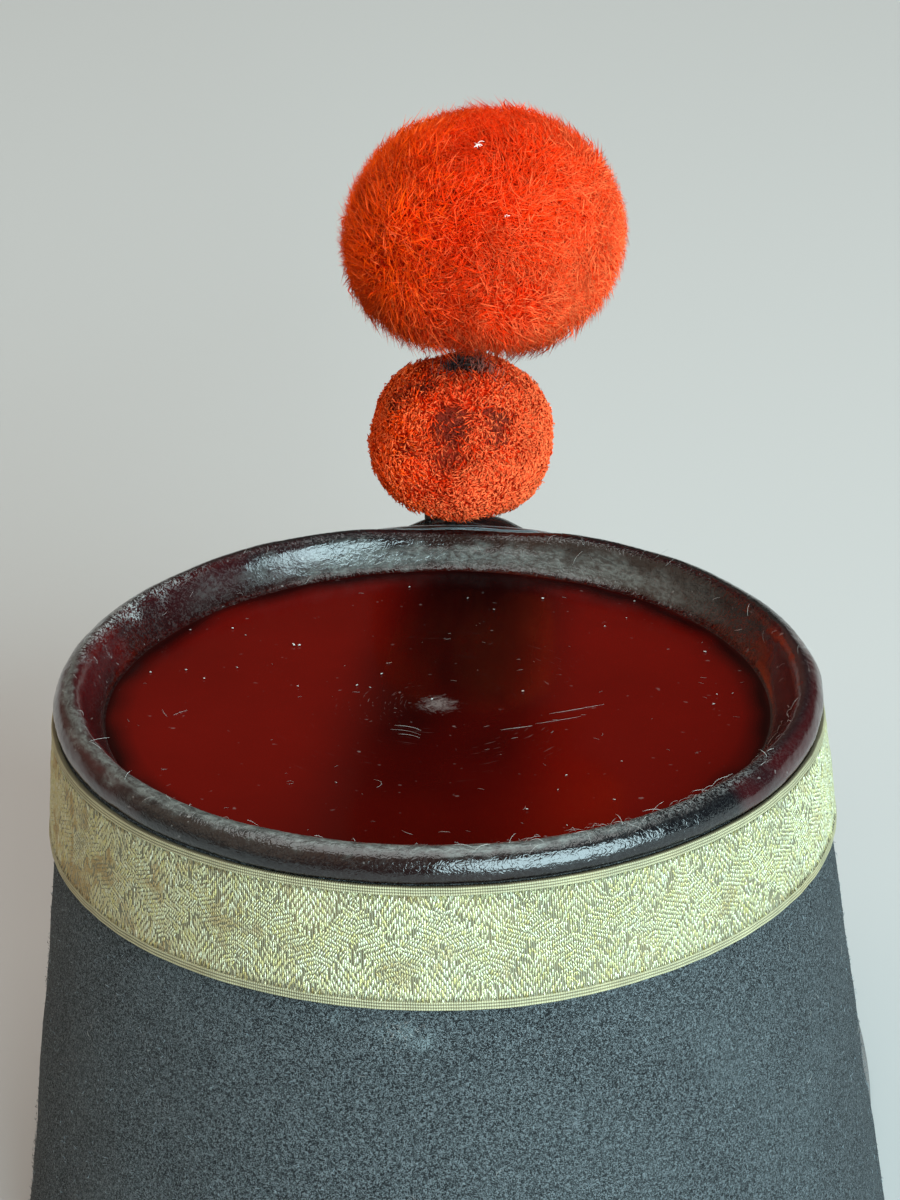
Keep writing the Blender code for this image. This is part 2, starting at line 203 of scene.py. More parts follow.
# ---------------- noise and curves
WAVES = 24  # plane waves in one noise


def lumps(points, wavelength, seed):
    """Smooth noise of unit spread: the sum of plane waves with random headings and phases."""
    chance = np.random.default_rng(seed)
    headings = unit(chance.normal(size=(WAVES, 3)))
    lengths = wavelength * chance.uniform(0.7, 1.4, WAVES)
    phases = chance.uniform(0, FULL_TURN, WAVES)
    swing = points @ (headings * (FULL_TURN / lengths)[:, None]).T + phases
    return np.sin(swing).sum(-1) * math.sqrt(2 / WAVES)


def creases(points, wavelength, seed):
    """Fine wrinkles from 0 to 1: one less the size of smooth noise, so that ridges are sharp."""
    return np.clip(1 - np.abs(lumps(points, wavelength, seed)), 0, 1)


def smoothstep(low, high, value):
    """0 under low, 1 over high and an S-shaped cubic in between."""
    share = np.clip((value - low) / (high - low), 0, 1)
    return share * share * (3 - 2 * share)


def plateau(value, low, rise, fall, high):
    """1 from rise to fall, 0 outside low and high, and a smoothstep on each side."""
    return smoothstep(low, rise, value) * smoothstep(high, fall, value)


def smooth_curve(points, steps):
    """A Catmull-Rom curve: each stretch is the cubic whose end slopes join the points beside it."""
    points = np.asarray(points, float)
    padded = np.vstack((2 * points[0] - points[1], points, 2 * points[-1] - points[-2]))
    before, start, end, after = padded[:-3], padded[1:-2], padded[2:-1], padded[3:]
    share = (np.arange(steps) / steps)[None, :, None]
    before, start, end, after = (part[:, None, :] for part in (before, start, end, after))
    curve = 0.5 * (2 * start + (end - before) * share
                   + (2 * before - 5 * start + 4 * end - after) * share ** 2
                   + (3 * start - before - 3 * end + after) * share ** 3)
    return np.vstack((curve.reshape(-1, points.shape[1]), points[-1]))


def even_angles(count):
    """Angles that divide a full turn evenly."""
    return np.arange(count) * FULL_TURN / count


def even_directions(count):
    """Even directions on a sphere: each turns on by the golden angle and drops by equal steps."""
    step = np.arange(count) + 0.5
    height = 1 - 2 * step / count
    flat = np.sqrt(1 - height ** 2)
    return np.stack((flat * np.cos(step * GOLDEN_ANGLE), flat * np.sin(step * GOLDEN_ANGLE), height), -1)


# ---------------- meshes from arrays
def grid_faces(rows, columns, round_rows=False):
    """Quads of a grid of rings, one a row; with round rows the last row joins the first."""
    row = np.arange(rows if round_rows else rows - 1)[:, None]
    column = np.arange(columns)[None, :]
    next_row = (row + 1) % rows
    next_column = (column + 1) % columns
    corners = (row * columns + column, row * columns + next_column,
               next_row * columns + next_column, next_row * columns + column)
    return np.stack(np.broadcast_arrays(*corners), -1).reshape(-1, 4)


def fan_faces(pole, ring, last=False):
    """Triangles that close a grid's first ring of vertices, or its last, to one point."""
    following = np.roll(ring, -1)
    pair = (ring, following) if last else (following, ring)
    return np.stack((np.full(len(ring), pole), *pair), -1)


def capped_faces(rows, columns):
    """Faces of a grid of rings whose two end rings are closed by fans to the two points after it."""
    ring = np.arange(columns)
    pole = rows * columns
    return [grid_faces(rows, columns), fan_faces(pole, ring),
            fan_faces(pole + 1, ring + pole - columns, last=True)]


def closed_tube(points):
    """Vertices and faces of a tube of rings, closed at both ends by a fan to the ring's middle."""
    middles = np.stack((points[0].mean(0), points[-1].mean(0)))
    return np.concatenate((points.reshape(-1, 3), middles)), capped_faces(*points.shape[:2])


def grid_normals(points):
    """Unit normals of a round grid: the step along a row crossed with the step down a column."""
    along = np.roll(points, -1, 1) - np.roll(points, 1, 1)
    down = np.gradient(points, axis=0)
    return unit(np.cross(along, down))


def add_object(name, data):
    """A new object at the world's origin, in the scene."""
    added = bpy.data.objects.new(name, data)
    bpy.context.scene.collection.objects.link(added)
    return added


def new_piece(name, points, faces, material, values=None, replaces=()):
    """Make a smooth piece at the world's origin from arrays.

    faces is a list of arrays with one row of corners a face.  values maps the name of a
    number kept on each vertex to its array.
    """
    mesh = bpy.data.meshes.new(name)
    corners = np.concatenate([group.ravel() for group in faces]).astype(np.int32)
    counts = np.concatenate([np.full(len(group), group.shape[1]) for group in faces])
    starts = (np.cumsum(counts) - counts).astype(np.int32)
    points = points.reshape(-1, 3)
    mesh.vertices.add(len(points))
    mesh.vertices.foreach_set("co", points.astype(np.float32).ravel())
    mesh.loops.add(len(corners))
    mesh.loops.foreach_set("vertex_index", corners)
    mesh.polygons.add(len(starts))
    mesh.polygons.foreach_set("loop_start", starts)
    mesh.update(calc_edges=True)
    mesh.validate()
    mesh.shade_smooth()
    for key, numbers in (values or {}).items():
        kept = mesh.attributes.new(key, "FLOAT", "POINT")
        kept.data.foreach_set("value", np.asarray(numbers, np.float32).ravel())
    mesh.materials.append(material)
    piece = add_object(name, mesh)
    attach(piece, "root")
    if replaces:
        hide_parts(*replaces)
    return piece


def side_frames(axes, chance):
    """Two unit vectors across each axis, turned at random about it."""
    side = unit(np.cross(axes, unit(chance.normal(size=axes.shape))))
    return side, np.cross(axes, side)


FIBRE_POINTS = 5


def fibres(roots, tips, radii, belly, bend, chance):
    """Closed three-sided fibres that are thickest at their belly.

    Each runs from its root, through a small triangle round its belly, to its tip.  The belly
    lies at a share of the length and is pushed aside by the bend in a random direction.
    Returns the points, the faces and a 0 to 1 value that rises from root to tip.
    """
    axes = unit(tips - roots)
    side, other = side_frames(axes, chance)
    middle = roots + (tips - roots) * belly + side * chance.normal(0, bend, (len(roots), 1))
    turns = even_angles(3)[:, None, None]
    ring = middle + (np.cos(turns) * side + np.sin(turns) * other) * radii[:, None]
    points = np.concatenate((ring, roots[None], tips[None]), 0).transpose(1, 0, 2)
    first = np.arange(len(roots))[:, None] * FIBRE_POINTS
    sides = np.array(((0, 1, 4), (1, 2, 4), (2, 0, 4), (1, 0, 3), (2, 1, 3), (0, 2, 3)))
    faces = (first[:, :, None] + sides[None]).reshape(-1, 3)
    grow = np.tile((belly, belly, belly, 0.0, 1.0), len(roots))
    return points.reshape(-1, 3), faces, grow


HAIR_STATIONS = 6
HAIR_SIDES = 3


def hairs(starts, headings, normals, lengths, bends, lifts, radii):
    """Thin three-sided tubes that lie along a surface.

    Each hair's heading turns evenly from its start by its bend, so it is an arc.  It lies a
    radius over the surface, and rises and comes back by its lift times a half sine.  It thins
    towards both ends as the root of a half sine, and each end is closed to a point.
    """
    across = np.cross(normals, headings)
    share = np.linspace(0, 1, HAIR_STATIONS)
    turn = bends[:, None] * share
    step = lengths[:, None] / (HAIR_STATIONS - 1)
    ahead = np.cumsum(np.cos(turn) * step, 1) - np.cos(turn[:, :1]) * step
    beside = np.cumsum(np.sin(turn) * step, 1) - np.sin(turn[:, :1]) * step
    radii = np.broadcast_to(radii, len(starts))[:, None]
    rise = lifts[:, None] * np.sin(math.pi * share)[None, :] + radii
    spine = (starts[:, None] + ahead[..., None] * headings[:, None]
             + beside[..., None] * across[:, None] + rise[..., None] * normals[:, None])
    forward = headings[:, None] * np.cos(turn)[..., None] + across[:, None] * np.sin(turn)[..., None]
    flat = np.cross(normals[:, None], forward)
    taper = radii * np.sin(math.pi * (0.08 + 0.84 * share)) ** 0.5
    turns = even_angles(HAIR_SIDES)
    ring = (flat[:, :, None] * np.cos(turns)[:, None]
            + normals[:, None, None] * np.sin(turns)[:, None])
    tube = spine[:, :, None] + ring * taper[:, :, None, None]
    count = len(starts)
    points = np.concatenate((tube.reshape(count, -1, 3), spine[:, :1], spine[:, -1:]), 1)
    quads, *ends = capped_faces(HAIR_STATIONS, HAIR_SIDES)
    first = (np.arange(count) * points.shape[1])[:, None, None]
    faces = [(first + quads).reshape(-1, 4), (first + np.concatenate(ends)).reshape(-1, 3)]
    return points.reshape(-1, 3), faces


# ---------------- shader helpers
class Sketch:
    """Short calls that add nodes to one tree and link them."""

    def __init__(self, tree):
        self.tree = tree

    def add(self, kind, inputs=None, **settings):
        """A node with its settings, and its inputs set or linked by name or number."""
        node = self.tree.nodes.new(kind)
        for name, value in settings.items():
            setattr(node, name, value)
        for name, value in (inputs or {}).items():
            self.put(node.inputs[name], value)
        return node

    def put(self, socket, value):
        """Link a socket to another, or set its own value; a colour gets full cover."""
        if isinstance(value, bpy.types.NodeSocket):
            self.tree.links.new(value, socket)
        elif socket.type == "RGBA":
            socket.default_value = (*value, 1.0)
        else:
            socket.default_value = value

    def shader(self, label, value):
        """Link or set an input of the material's own shader."""
        self.put(self.tree.nodes["Principled BSDF"].inputs[label], value)

    def place(self):
        """Object coordinates, in metres."""
        return self.add("ShaderNodeTexCoord").outputs["Object"]

    def value(self, name):
        """A number kept on the mesh."""
        return self.add("ShaderNodeAttribute", attribute_name=name).outputs["Fac"]

    def math(self, operation, first, second=0.0, third=0.0):
        """One sum on numbers."""
        inputs = {0: first, 1: second, 2: third}
        return self.add("ShaderNodeMath", inputs, operation=operation).outputs[0]

    def times(self, first, second):
        """The product of two numbers."""
        return self.math("MULTIPLY", first, second)

    def times_plus(self, first, second, third):
        """The product of two numbers, plus a third."""
        return self.math("MULTIPLY_ADD", first, second, third)

    def vector(self, operation, first, second=(0.0, 0.0, 0.0), output="Vector"):
        """One sum on vectors."""
        node = self.add("ShaderNodeVectorMath", {0: first, 1: second}, operation=operation)
        return node.outputs[output]

    def noise(self, place, scale, detail=2.0, roughness=0.5, curl=0.0):
        """Noise with so many lumps a metre, whose edges curl when curl is over 0."""
        inputs = {"Vector": place, "Scale": scale, "Detail": detail, "Roughness": roughness,
                  "Distortion": curl}
        return self.add("ShaderNodeTexNoise", inputs).outputs["Fac"]

    def ring_noise(self, place, around, across, curl=0.0):
        """Noise drawn out round the crown's middle, with so many lumps a turn and a metre across.

        Returns the noise and the distance from the middle.
        """
        centred = self.add("ShaderNodeMapping", {
            "Vector": place, "Location": (-CROWN_CENTRE[0], -CROWN_CENTRE[1], 0.0)}).outputs[0]
        level = self.vector("MULTIPLY", centred, (1.0, 1.0, 0.0))
        reach = self.vector("LENGTH", level, output="Value")
        parts = self.add("ShaderNodeSeparateXYZ", {0: self.vector("NORMALIZE", level)}).outputs
        height = self.add("ShaderNodeSeparateXYZ", {0: place}).outputs[2]
        ring_place = self.add("ShaderNodeCombineXYZ", {
            0: self.times(parts[0], around / FULL_TURN),
            1: self.times(parts[1], around / FULL_TURN),
            2: self.times(reach, across)}).outputs[0]
        inputs = {"Vector": ring_place, "W": self.times(height, across), "Scale": 1.0,
                  "Detail": 2.0, "Distortion": curl}
        noise = self.add("ShaderNodeTexNoise", inputs, noise_dimensions="4D").outputs["Fac"]
        return noise, reach

    def between(self, value, low, high, to_low=0.0, to_high=1.0):
        """Stretch the range from low to high over another, and clip it there."""
        inputs = {"Value": value, "From Min": low, "From Max": high, "To Min": to_low, "To Max": to_high}
        return self.add("ShaderNodeMapRange", inputs).outputs["Result"]

    def mix(self, share, first, second, blend="MIX"):
        """Mix two colours."""
        node = self.add("ShaderNodeMix", {0: share, 6: first, 7: second},
                        data_type="RGBA", blend_type=blend)
        return node.outputs[2]

    def bump(self, height, strength, distance):
        """Give the shader a normal from a height."""
        inputs = {"Height": height, "Strength": strength, "Distance": distance}
        self.shader("Normal", self.add("ShaderNodeBump", inputs).outputs["Normal"])

    def group(self, build, **inputs):
        """Place a node group, built at its first use, with its own values; returns its outputs."""
        tree = bpy.data.node_groups.get(build.__name__) or build()
        return self.add("ShaderNodeGroup", inputs, node_tree=tree).outputs

    def uneven(self, base, place, scale, amount):
        """A colour made lighter and darker by the uneven_colour group."""
        return self.group(uneven_colour, Colour=base, Place=place, Scale=scale, Amount=amount)["Colour"]

    def dusted(self, base, dust_colour, place, specks, cover, share):
        """A colour under the dust of the settled_dust group, and that dust's film."""
        dust = self.group(settled_dust, Place=place, Specks=specks, Cover=cover)
        return self.mix(self.times(dust["Mask"], share), base, dust_colour), dust["Film"]


def new_group(name, inputs, outputs):
    """A node group with named sockets; returns its sketch, what it is given and its results."""
    tree = bpy.data.node_groups.new(name, "ShaderNodeTree")
    for way, sockets in (("INPUT", inputs), ("OUTPUT", outputs)):
        for label, kind in sockets.items():
            tree.interface.new_socket(label, in_out=way, socket_type="NodeSocket" + kind)
    sketch = Sketch(tree)
    return sketch, sketch.add("NodeGroupInput").outputs, sketch.add("NodeGroupOutput").inputs


def leather_grain():
    """Wrinkled patent leather: noise-bent cells whose borders are fine cracks, over soft lumps."""
    sketch, given, result = new_group(
        "leather_grain", {"Place": "Vector", "Wrinkles": "Float"}, {"Height": "Float", "Cracks": "Float"})
    bend = sketch.add("ShaderNodeTexNoise", {"Vector": given["Place"], "Scale": 500.0, "Detail": 3.0})
    shift = sketch.add("ShaderNodeVectorMath", {0: bend.outputs["Color"], "Scale": 0.0022},
                       operation="SCALE").outputs[0]
    place = sketch.vector("ADD", given["Place"], shift)
    cells = sketch.add("ShaderNodeTexVoronoi", {"Vector": place, "Scale": given["Wrinkles"]},
                       feature="DISTANCE_TO_EDGE").outputs["Distance"]
    border = sketch.between(cells, 0.0, 0.22)
    soft = sketch.noise(given["Place"], 260.0, detail=3.0)
    height = sketch.times_plus(border, 0.45, soft)
    sketch.put(result["Height"], height)
    sketch.put(result["Cracks"], sketch.between(cells, 0.05, 0.0))
    return sketch.tree


def settled_dust():
    """Dust as a mask: fine specks that show most where a cloudy film lies."""
    sketch, given, result = new_group(
        "settled_dust", {"Place": "Vector", "Specks": "Float", "Cover": "Float"},
        {"Mask": "Float", "Film": "Float"})
    film = sketch.between(sketch.noise(given["Place"], 45.0, detail=5.0, roughness=0.6), 0.42, 0.72)
    speck = sketch.noise(given["Place"], given["Specks"], detail=1.0)
    bare = sketch.math("SUBTRACT", 1.0, given["Cover"])
    shown = sketch.between(speck, bare, sketch.math("ADD", bare, 0.06))
    sketch.put(result["Mask"], sketch.times(shown, sketch.times_plus(film, 0.8, 0.2)))
    sketch.put(result["Film"], film)
    return sketch.tree


def uneven_colour():
    """A colour made lighter and darker by soft noise, by so much each way."""
    sketch, given, result = new_group(
        "uneven_colour", {"Colour": "Color", "Place": "Vector", "Scale": "Float", "Amount": "Float"},
        {"Colour": "Color"})
    noise = sketch.noise(given["Place"], given["Scale"], detail=4.0, roughness=0.6)
    swing = sketch.times(sketch.math("SUBTRACT", noise, 0.5), given["Amount"])
    gain = sketch.times_plus(swing, 2.0, 1.0)
    shade = sketch.add("ShaderNodeCombineColor", {0: gain, 1: gain, 2: gain}).outputs[0]
    sketch.put(result["Colour"], sketch.mix(1.0, given["Colour"], shade, "MULTIPLY"))
    return sketch.tree


def pile_colour():
    """Wool pile: dark at the roots, light at the tips, and each fibre a little its own."""
    sketch, given, result = new_group(
        "pile_colour", {"Root": "Color", "Tip": "Color", "Pale": "Color", "Grow": "Float", "Tone": "Float"},
        {"Colour": "Color"})
    rise = sketch.between(given["Grow"], 0.25, 1.0)
    body = sketch.mix(rise, given["Root"], given["Tip"])
    pale = sketch.times(sketch.between(given["Tone"], 0.45, 1.0), rise)
    sketch.put(result["Colour"], sketch.mix(pale, body, given["Pale"]))
    return sketch.tree


def new_material(name, fixed):
    """A material with one Principled BSDF and its fixed inputs; returns it and its sketch."""
    material = bpy.data.materials.new(name)
    material.use_nodes = True
    sketch = Sketch(material.node_tree)
    for label, value in fixed.items():
        sketch.shader(label, value)
    return material, sketch


# ---------------- finishes
def cloth_finish(settings):
    """Milled wool cloth: dark blue-grey, short curled nap, a few pale and worn clouds."""
    material, sketch = new_material("milled_cloth", {
        "Roughness": 0.85, "Specular IOR Level": 0.2, "Sheen Weight": 0.06, "Sheen Roughness": 0.5,
        "Sheen Tint": settings.nap_colour})
    place = sketch.place()
    curl = sketch.noise(place, 2900.0, detail=1.0, roughness=0.5, curl=1.6)
    grain = sketch.noise(place, 4200.0, detail=1.0, roughness=0.5, curl=1.2)
    fleck = sketch.between(curl, 0.48, 0.60)
    hollow = sketch.between(curl, 0.49, 0.37)
    worn = sketch.between(sketch.noise(place, 28.0, detail=5.0, roughness=0.62), 0.5, 0.75)
    ground = sketch.uneven(settings.cloth_colour, place, scale=35.0, amount=0.30)
    # painted shade in the hollows between the nap's curls, and a painted highlight on the curls
    deep = sketch.mix(sketch.times(hollow, 0.85), ground, settings.shadow_colour)
    lit = sketch.mix(fleck, deep, settings.nap_colour)
    smear = sketch.times(sketch.value("smear"), sketch.between(curl, 0.40, 0.60))
    rubbed = sketch.mix(sketch.times_plus(worn, 0.10, smear), lit, settings.dust_colour)
    dusty, _film = sketch.dusted(rubbed, settings.dust_colour, place, specks=900.0, cover=0.36, share=0.22)
    sketch.shader("Base Color", dusty)
    height = sketch.times_plus(curl, 1.6, grain)
    sketch.bump(height, strength=0.9, distance=0.0004)
    return material


def inner_felt_finish(settings):
    """The inside of the wall: plain dark felt."""
    material, sketch = new_material("inner_felt", {"Roughness": 0.95, "Specular IOR Level": 0.15})
    place = sketch.place()
    sketch.shader("Base Color", sketch.uneven(settings.inside_colour, place, scale=60.0, amount=0.5))
    sketch.bump(sketch.noise(place, 1400.0, detail=3.0), strength=0.6, distance=0.0003)
    return material


def nap_finish(settings):
    """Single nap fibres, from the cloth's own dark to pale grey-blue."""
    material, sketch = new_material("nap_fibres", {
        "Roughness": 0.8, "Specular IOR Level": 0.3, "Sheen Weight": 0.3})
    fibre = sketch.mix(sketch.value("tone"), settings.cloth_colour, settings.fibre_colour)
    sketch.shader("Base Color", fibre)
    return material


def disc_finish(settings):
    """Lacquered disc: black lacquer with a painted maroon reflection and a painted dark band, broken rings of
    fine scratches, a rubbed middle and dust.
    """
    material, sketch = new_material("disc_patent", {
        "Specular IOR Level": 0.04, "Coat Roughness": 0.10})
    place = sketch.place()
    shade = sketch.value("shade")
    rings, reach = sketch.ring_noise(place, around=10.0, across=2600.0)
    broken = sketch.between(sketch.noise(place, 70.0, detail=3.0), 0.5, 0.62)
    away = sketch.times(sketch.between(reach, 0.003, 0.008), sketch.between(reach, 0.040, 0.012))
    broken = sketch.times(broken, away)
    scratch = sketch.times(sketch.between(rings, 0.64, 0.74), broken)
    ragged = sketch.times_plus(reach, -80.0, sketch.noise(place, 430.0, detail=5.0, roughness=0.75, curl=2.2))
    smudge = sketch.between(ragged, 0.20, 0.46)
    rubbed = sketch.times_plus(smudge, 0.25, sketch.times(scratch, 0.16))
    # painted reflection: maroon over the black lacquer, for mirrored red surroundings
    disc = sketch.uneven(settings.disc_red_reflection_colour, place, scale=30.0, amount=0.25)
    # painted shade: the dark band mirrors the pompoms, and the border is shade where the disc turns up
    disc = sketch.mix(shade, disc, settings.disc_painted_shade_colour)
    disc = sketch.mix(rubbed, disc, settings.dust_colour)
    dusty, film = sketch.dusted(disc, settings.dust_colour, place, specks=620.0, cover=0.25, share=0.30)
    sketch.shader("Base Color", dusty)
    sketch.shader("Coat Weight", sketch.between(shade, 0.4, 0.9, 0.06, 0.02))
    dull = sketch.times_plus(film, 0.06, 0.14)
    sketch.shader("Roughness", sketch.times_plus(rubbed, 0.6, dull))
    height = sketch.times_plus(scratch, -0.3, sketch.noise(place, 260.0, detail=3.0))
    sketch.bump(height, strength=0.06, distance=0.0002)
    return material


def rim_finish(settings):
    """Black lacquered rim: wrinkled and crackled, with a painted maroon reflection in places and a painted
    grey reflection inside and along its crest, scuffed.
    """
    material, sketch = new_material("rim_patent", {"Specular IOR Level": 0.6})
    place = sketch.place()
    wear = sketch.value("wear")
    painted_sheen = sketch.value("painted_sheen")
    wrinkle, _reach = sketch.ring_noise(place, around=120.0, across=850.0, curl=1.6)
    grain = sketch.group(leather_grain, Place=place, Wrinkles=1000.0)
    red = sketch.value("red")
    # painted reflection: maroon over the black, where the rim mirrors red surroundings
    edge = sketch.mix(red, settings.rim_colour, settings.rim_red_reflection_colour)
    # painted shade at the rim's foot, where it turns down into the disc
    edge = sketch.mix(sketch.value("shade"), edge, settings.disc_painted_shade_colour)
    pebble = sketch.between(sketch.noise(place, 900.0, detail=3.0, roughness=0.65, curl=0.8), 0.38, 0.66)
    streak = sketch.between(wrinkle, 0.42, 0.64)
    haze = sketch.times_plus(streak, 0.50, sketch.times_plus(pebble, 0.30, 0.16))
    # painted reflection: a grey haze on the inner slope and a painted highlight along the crest
    edge = sketch.mix(sketch.times(painted_sheen, haze), edge, settings.painted_sheen_colour)
    flake = sketch.between(sketch.noise(place, 1300.0, detail=4.0, roughness=0.7, curl=1.6), 0.50, 0.58)
    scuff = sketch.times(wear, flake)
    edge = sketch.mix(scuff, edge, settings.scuff_colour)
    dusty, film = sketch.dusted(edge, settings.dust_colour, place, specks=700.0, cover=0.27, share=0.50)
    sketch.shader("Base Color", dusty)
    dull = sketch.times_plus(film, 0.04, sketch.times_plus(scuff, 0.35, 0.10))
    sketch.shader("Roughness", sketch.times_plus(painted_sheen, 0.22, dull))
    height = sketch.times_plus(wrinkle, 0.8, sketch.times(grain["Height"], 0.6))
    relief = sketch.between(red, 0.35, 0.0, 0.2, 1.0)
    height = sketch.times_plus(scuff, 0.8, sketch.times(height, relief))
    sketch.bump(height, strength=0.36, distance=0.0003)
    return material


def black_leather_finish(settings):
    """Black patent leather for the peak, the tab and the holder."""
    material, sketch = new_material("black_patent", {
        "Specular IOR Level": 0.35, "Coat Weight": 0.35, "Coat Roughness": 0.12})
    place = sketch.place()
    grain = sketch.group(leather_grain, Place=place, Wrinkles=900.0)
    black = sketch.uneven(settings.leather_colour, place, scale=50.0, amount=0.5)
    cracked = sketch.mix(sketch.times(grain["Cracks"], 0.25), black, settings.crack_colour)
    # painted highlight along the tab's top edge
    cracked = sketch.mix(sketch.value("pale"), cracked, settings.edge_colour)
    dusty, film = sketch.dusted(cracked, settings.crack_colour, place, specks=700.0, cover=0.3, share=0.4)
    sketch.shader("Base Color", dusty)
    sketch.shader("Roughness", sketch.times_plus(film, 0.16, 0.24))
    sketch.bump(grain["Height"], strength=0.25, distance=0.00025)
    return material


def lace_ground_finish(settings):
    """The lace's ground and corded edges: dull thread with fine cross ribs, browned where worn."""
    material, sketch = new_material("lace_ground", {
        "Metallic": 0.25, "Roughness": 0.6, "Specular IOR Level": 0.4})
    place = sketch.place()
    along = sketch.value("along")
    rib = sketch.math("SINE", sketch.times(along, FULL_TURN / settings.thread_pitch))
    lit = sketch.between(rib, -1.0, 1.0)
    core = sketch.mix(sketch.value("edge"), settings.ground_colour, settings.edge_colour)
    core = sketch.uneven(core, place, scale=160.0, amount=0.5)
    dull = sketch.mix(sketch.times(lit, 0.22), core, settings.pale_colour)
    stain = sketch.between(sketch.noise(place, 55.0, detail=5.0, roughness=0.65), 0.52, 0.7)
    aged = sketch.mix(sketch.times(stain, 0.35), dull, settings.tarnish_colour)
    # darker between the cords of the edges
    groove_dark = sketch.times(sketch.value("groove"), 0.85)
    grooved = sketch.mix(groove_dark, aged, settings.groove_colour)
    sketch.shader("Base Color", grooved)
    sketch.bump(lit, strength=0.6, distance=0.00012)
    return material


def lace_thread_finish(settings):
    """Metal thread: pale gilt, each float greener, yellower or greyer as painted glints, browned in stains.
    """
    material, sketch = new_material("metal_thread", {
        "Metallic": 0.55, "Roughness": 0.42, "Specular IOR Level": 0.5})
    place = sketch.place()
    tone = sketch.value("tone")
    tarnish = sketch.value("tarnish")
    # painted glints: each float's random tone, from yellow to pale
    warm = sketch.mix(sketch.between(tone, 0.0, 0.35), settings.yellow_colour, settings.gilt_colour)
    body = sketch.mix(sketch.between(tone, 0.65, 1.0), warm, settings.pale_colour)
    aged = sketch.mix(tarnish, body, settings.tarnish_colour)
    speck = sketch.between(sketch.noise(place, 1800.0, detail=2.0), 0.6, 0.75)
    worn = sketch.mix(sketch.times(speck, 0.3), aged, settings.ground_colour)
    sketch.shader("Base Color", worn)
    sketch.shader("Roughness", sketch.times_plus(tarnish, 0.25, 0.38))
    sketch.bump(sketch.noise(place, 5200.0, detail=1.0), strength=0.35, distance=0.00008)
    return material


def wool_finish(name, settings):
    """Dyed wool pile, soft and saturated, more orange towards its left, dark where moths have fed, and with
    painted shade on the large pompom's left and underside.
    """
    material, sketch = new_material(name, {
        "Roughness": 0.75, "Specular IOR Level": 0.04, "Sheen Weight": 0.04, "Sheen Roughness": 0.4,
        "Sheen Tint": settings.pale_colour})
    tip = sketch.mix(sketch.value("orange"), settings.tip_colour, settings.orange_colour)
    pile = sketch.group(pile_colour, Root=settings.root_colour, Tip=tip, Pale=settings.pale_colour,
                        Grow=sketch.value("grow"), Tone=sketch.value("tone"))["Colour"]
    soft = sketch.uneven(pile, sketch.place(), scale=90.0, amount=0.35)
    # dark where moths have eaten the pile, and painted shade on the large pompom
    sketch.shader("Base Color", sketch.mix(sketch.value("bare"), soft, settings.bare_and_shade_colour))
    return material


def wire_finish():
    """Dark worn wire."""
    material, sketch = new_material("dark_wire", {"Metallic": 0.85, "Roughness": 0.45})
    place = sketch.place()
    rust = sketch.between(sketch.noise(place, 900.0, detail=4.0), 0.45, 0.65)
    sketch.shader("Base Color", sketch.mix(rust, (0.05, 0.045, 0.04), (0.09, 0.035, 0.015)))
    sketch.bump(sketch.noise(place, 2500.0, detail=3.0), strength=0.4, distance=0.0001)
    return material


def lint_finish(name, pale, dark):
    """Loose fibres and specks, each its own shade between two."""
    material, sketch = new_material(name, {"Roughness": 0.85, "Specular IOR Level": 0.3})
    sketch.shader("Base Color", sketch.mix(sketch.value("tone"), dark, pale))
    return material


# ---------------- settings
def size(default, title, text):
    """A length in metres."""
    return bpy.props.FloatProperty(name=title, description=text, default=default, min=0.0,
                                   precision=5, unit="LENGTH")


def paint(default, title, text):
    """A colour."""
    return bpy.props.FloatVectorProperty(name=title, description=text, default=default, size=3,
                                         min=0.0, max=1.0, subtype="COLOR")


def amount(default, title, text):
    """How many there are."""
    return bpy.props.IntProperty(name=title, description=text, default=default, min=1)


def watts(default, title, text):
    """A lamp's power."""
    return bpy.props.FloatProperty(name=title, description=text, default=default, min=0.0, unit="POWER")


class ShakoCloth(bpy.types.PropertyGroup):
    """The cloth body."""
    cloth_colour: paint((0.016, 0.019, 0.021), "Cloth", "The cloth's own dark blue-grey")
    shadow_colour: paint((0.003, 0.003, 0.004), "Hollows", "The cloth between its curls")
    nap_colour: paint((0.146, 0.165, 0.174), "Nap", "Colour of the curled nap where light catches it")
    fibre_colour: paint((0.20, 0.26, 0.29), "Fibres", "Colour of the palest nap fibres")
    dust_colour: paint((0.20, 0.24, 0.25), "Dust", "Dust and rubbed places")
    inside_colour: paint((0.030, 0.026, 0.022), "Inside", "Felt on the inside of the wall")
    lump_depth: size(0.00022, "Lumps", "How far the cloth's surface swells and dips")
    nap_fibres: amount(9500, "Fibres", "Number of nap fibres")
    nap_length: size(0.0010, "Fibre length", "Length of a nap fibre")


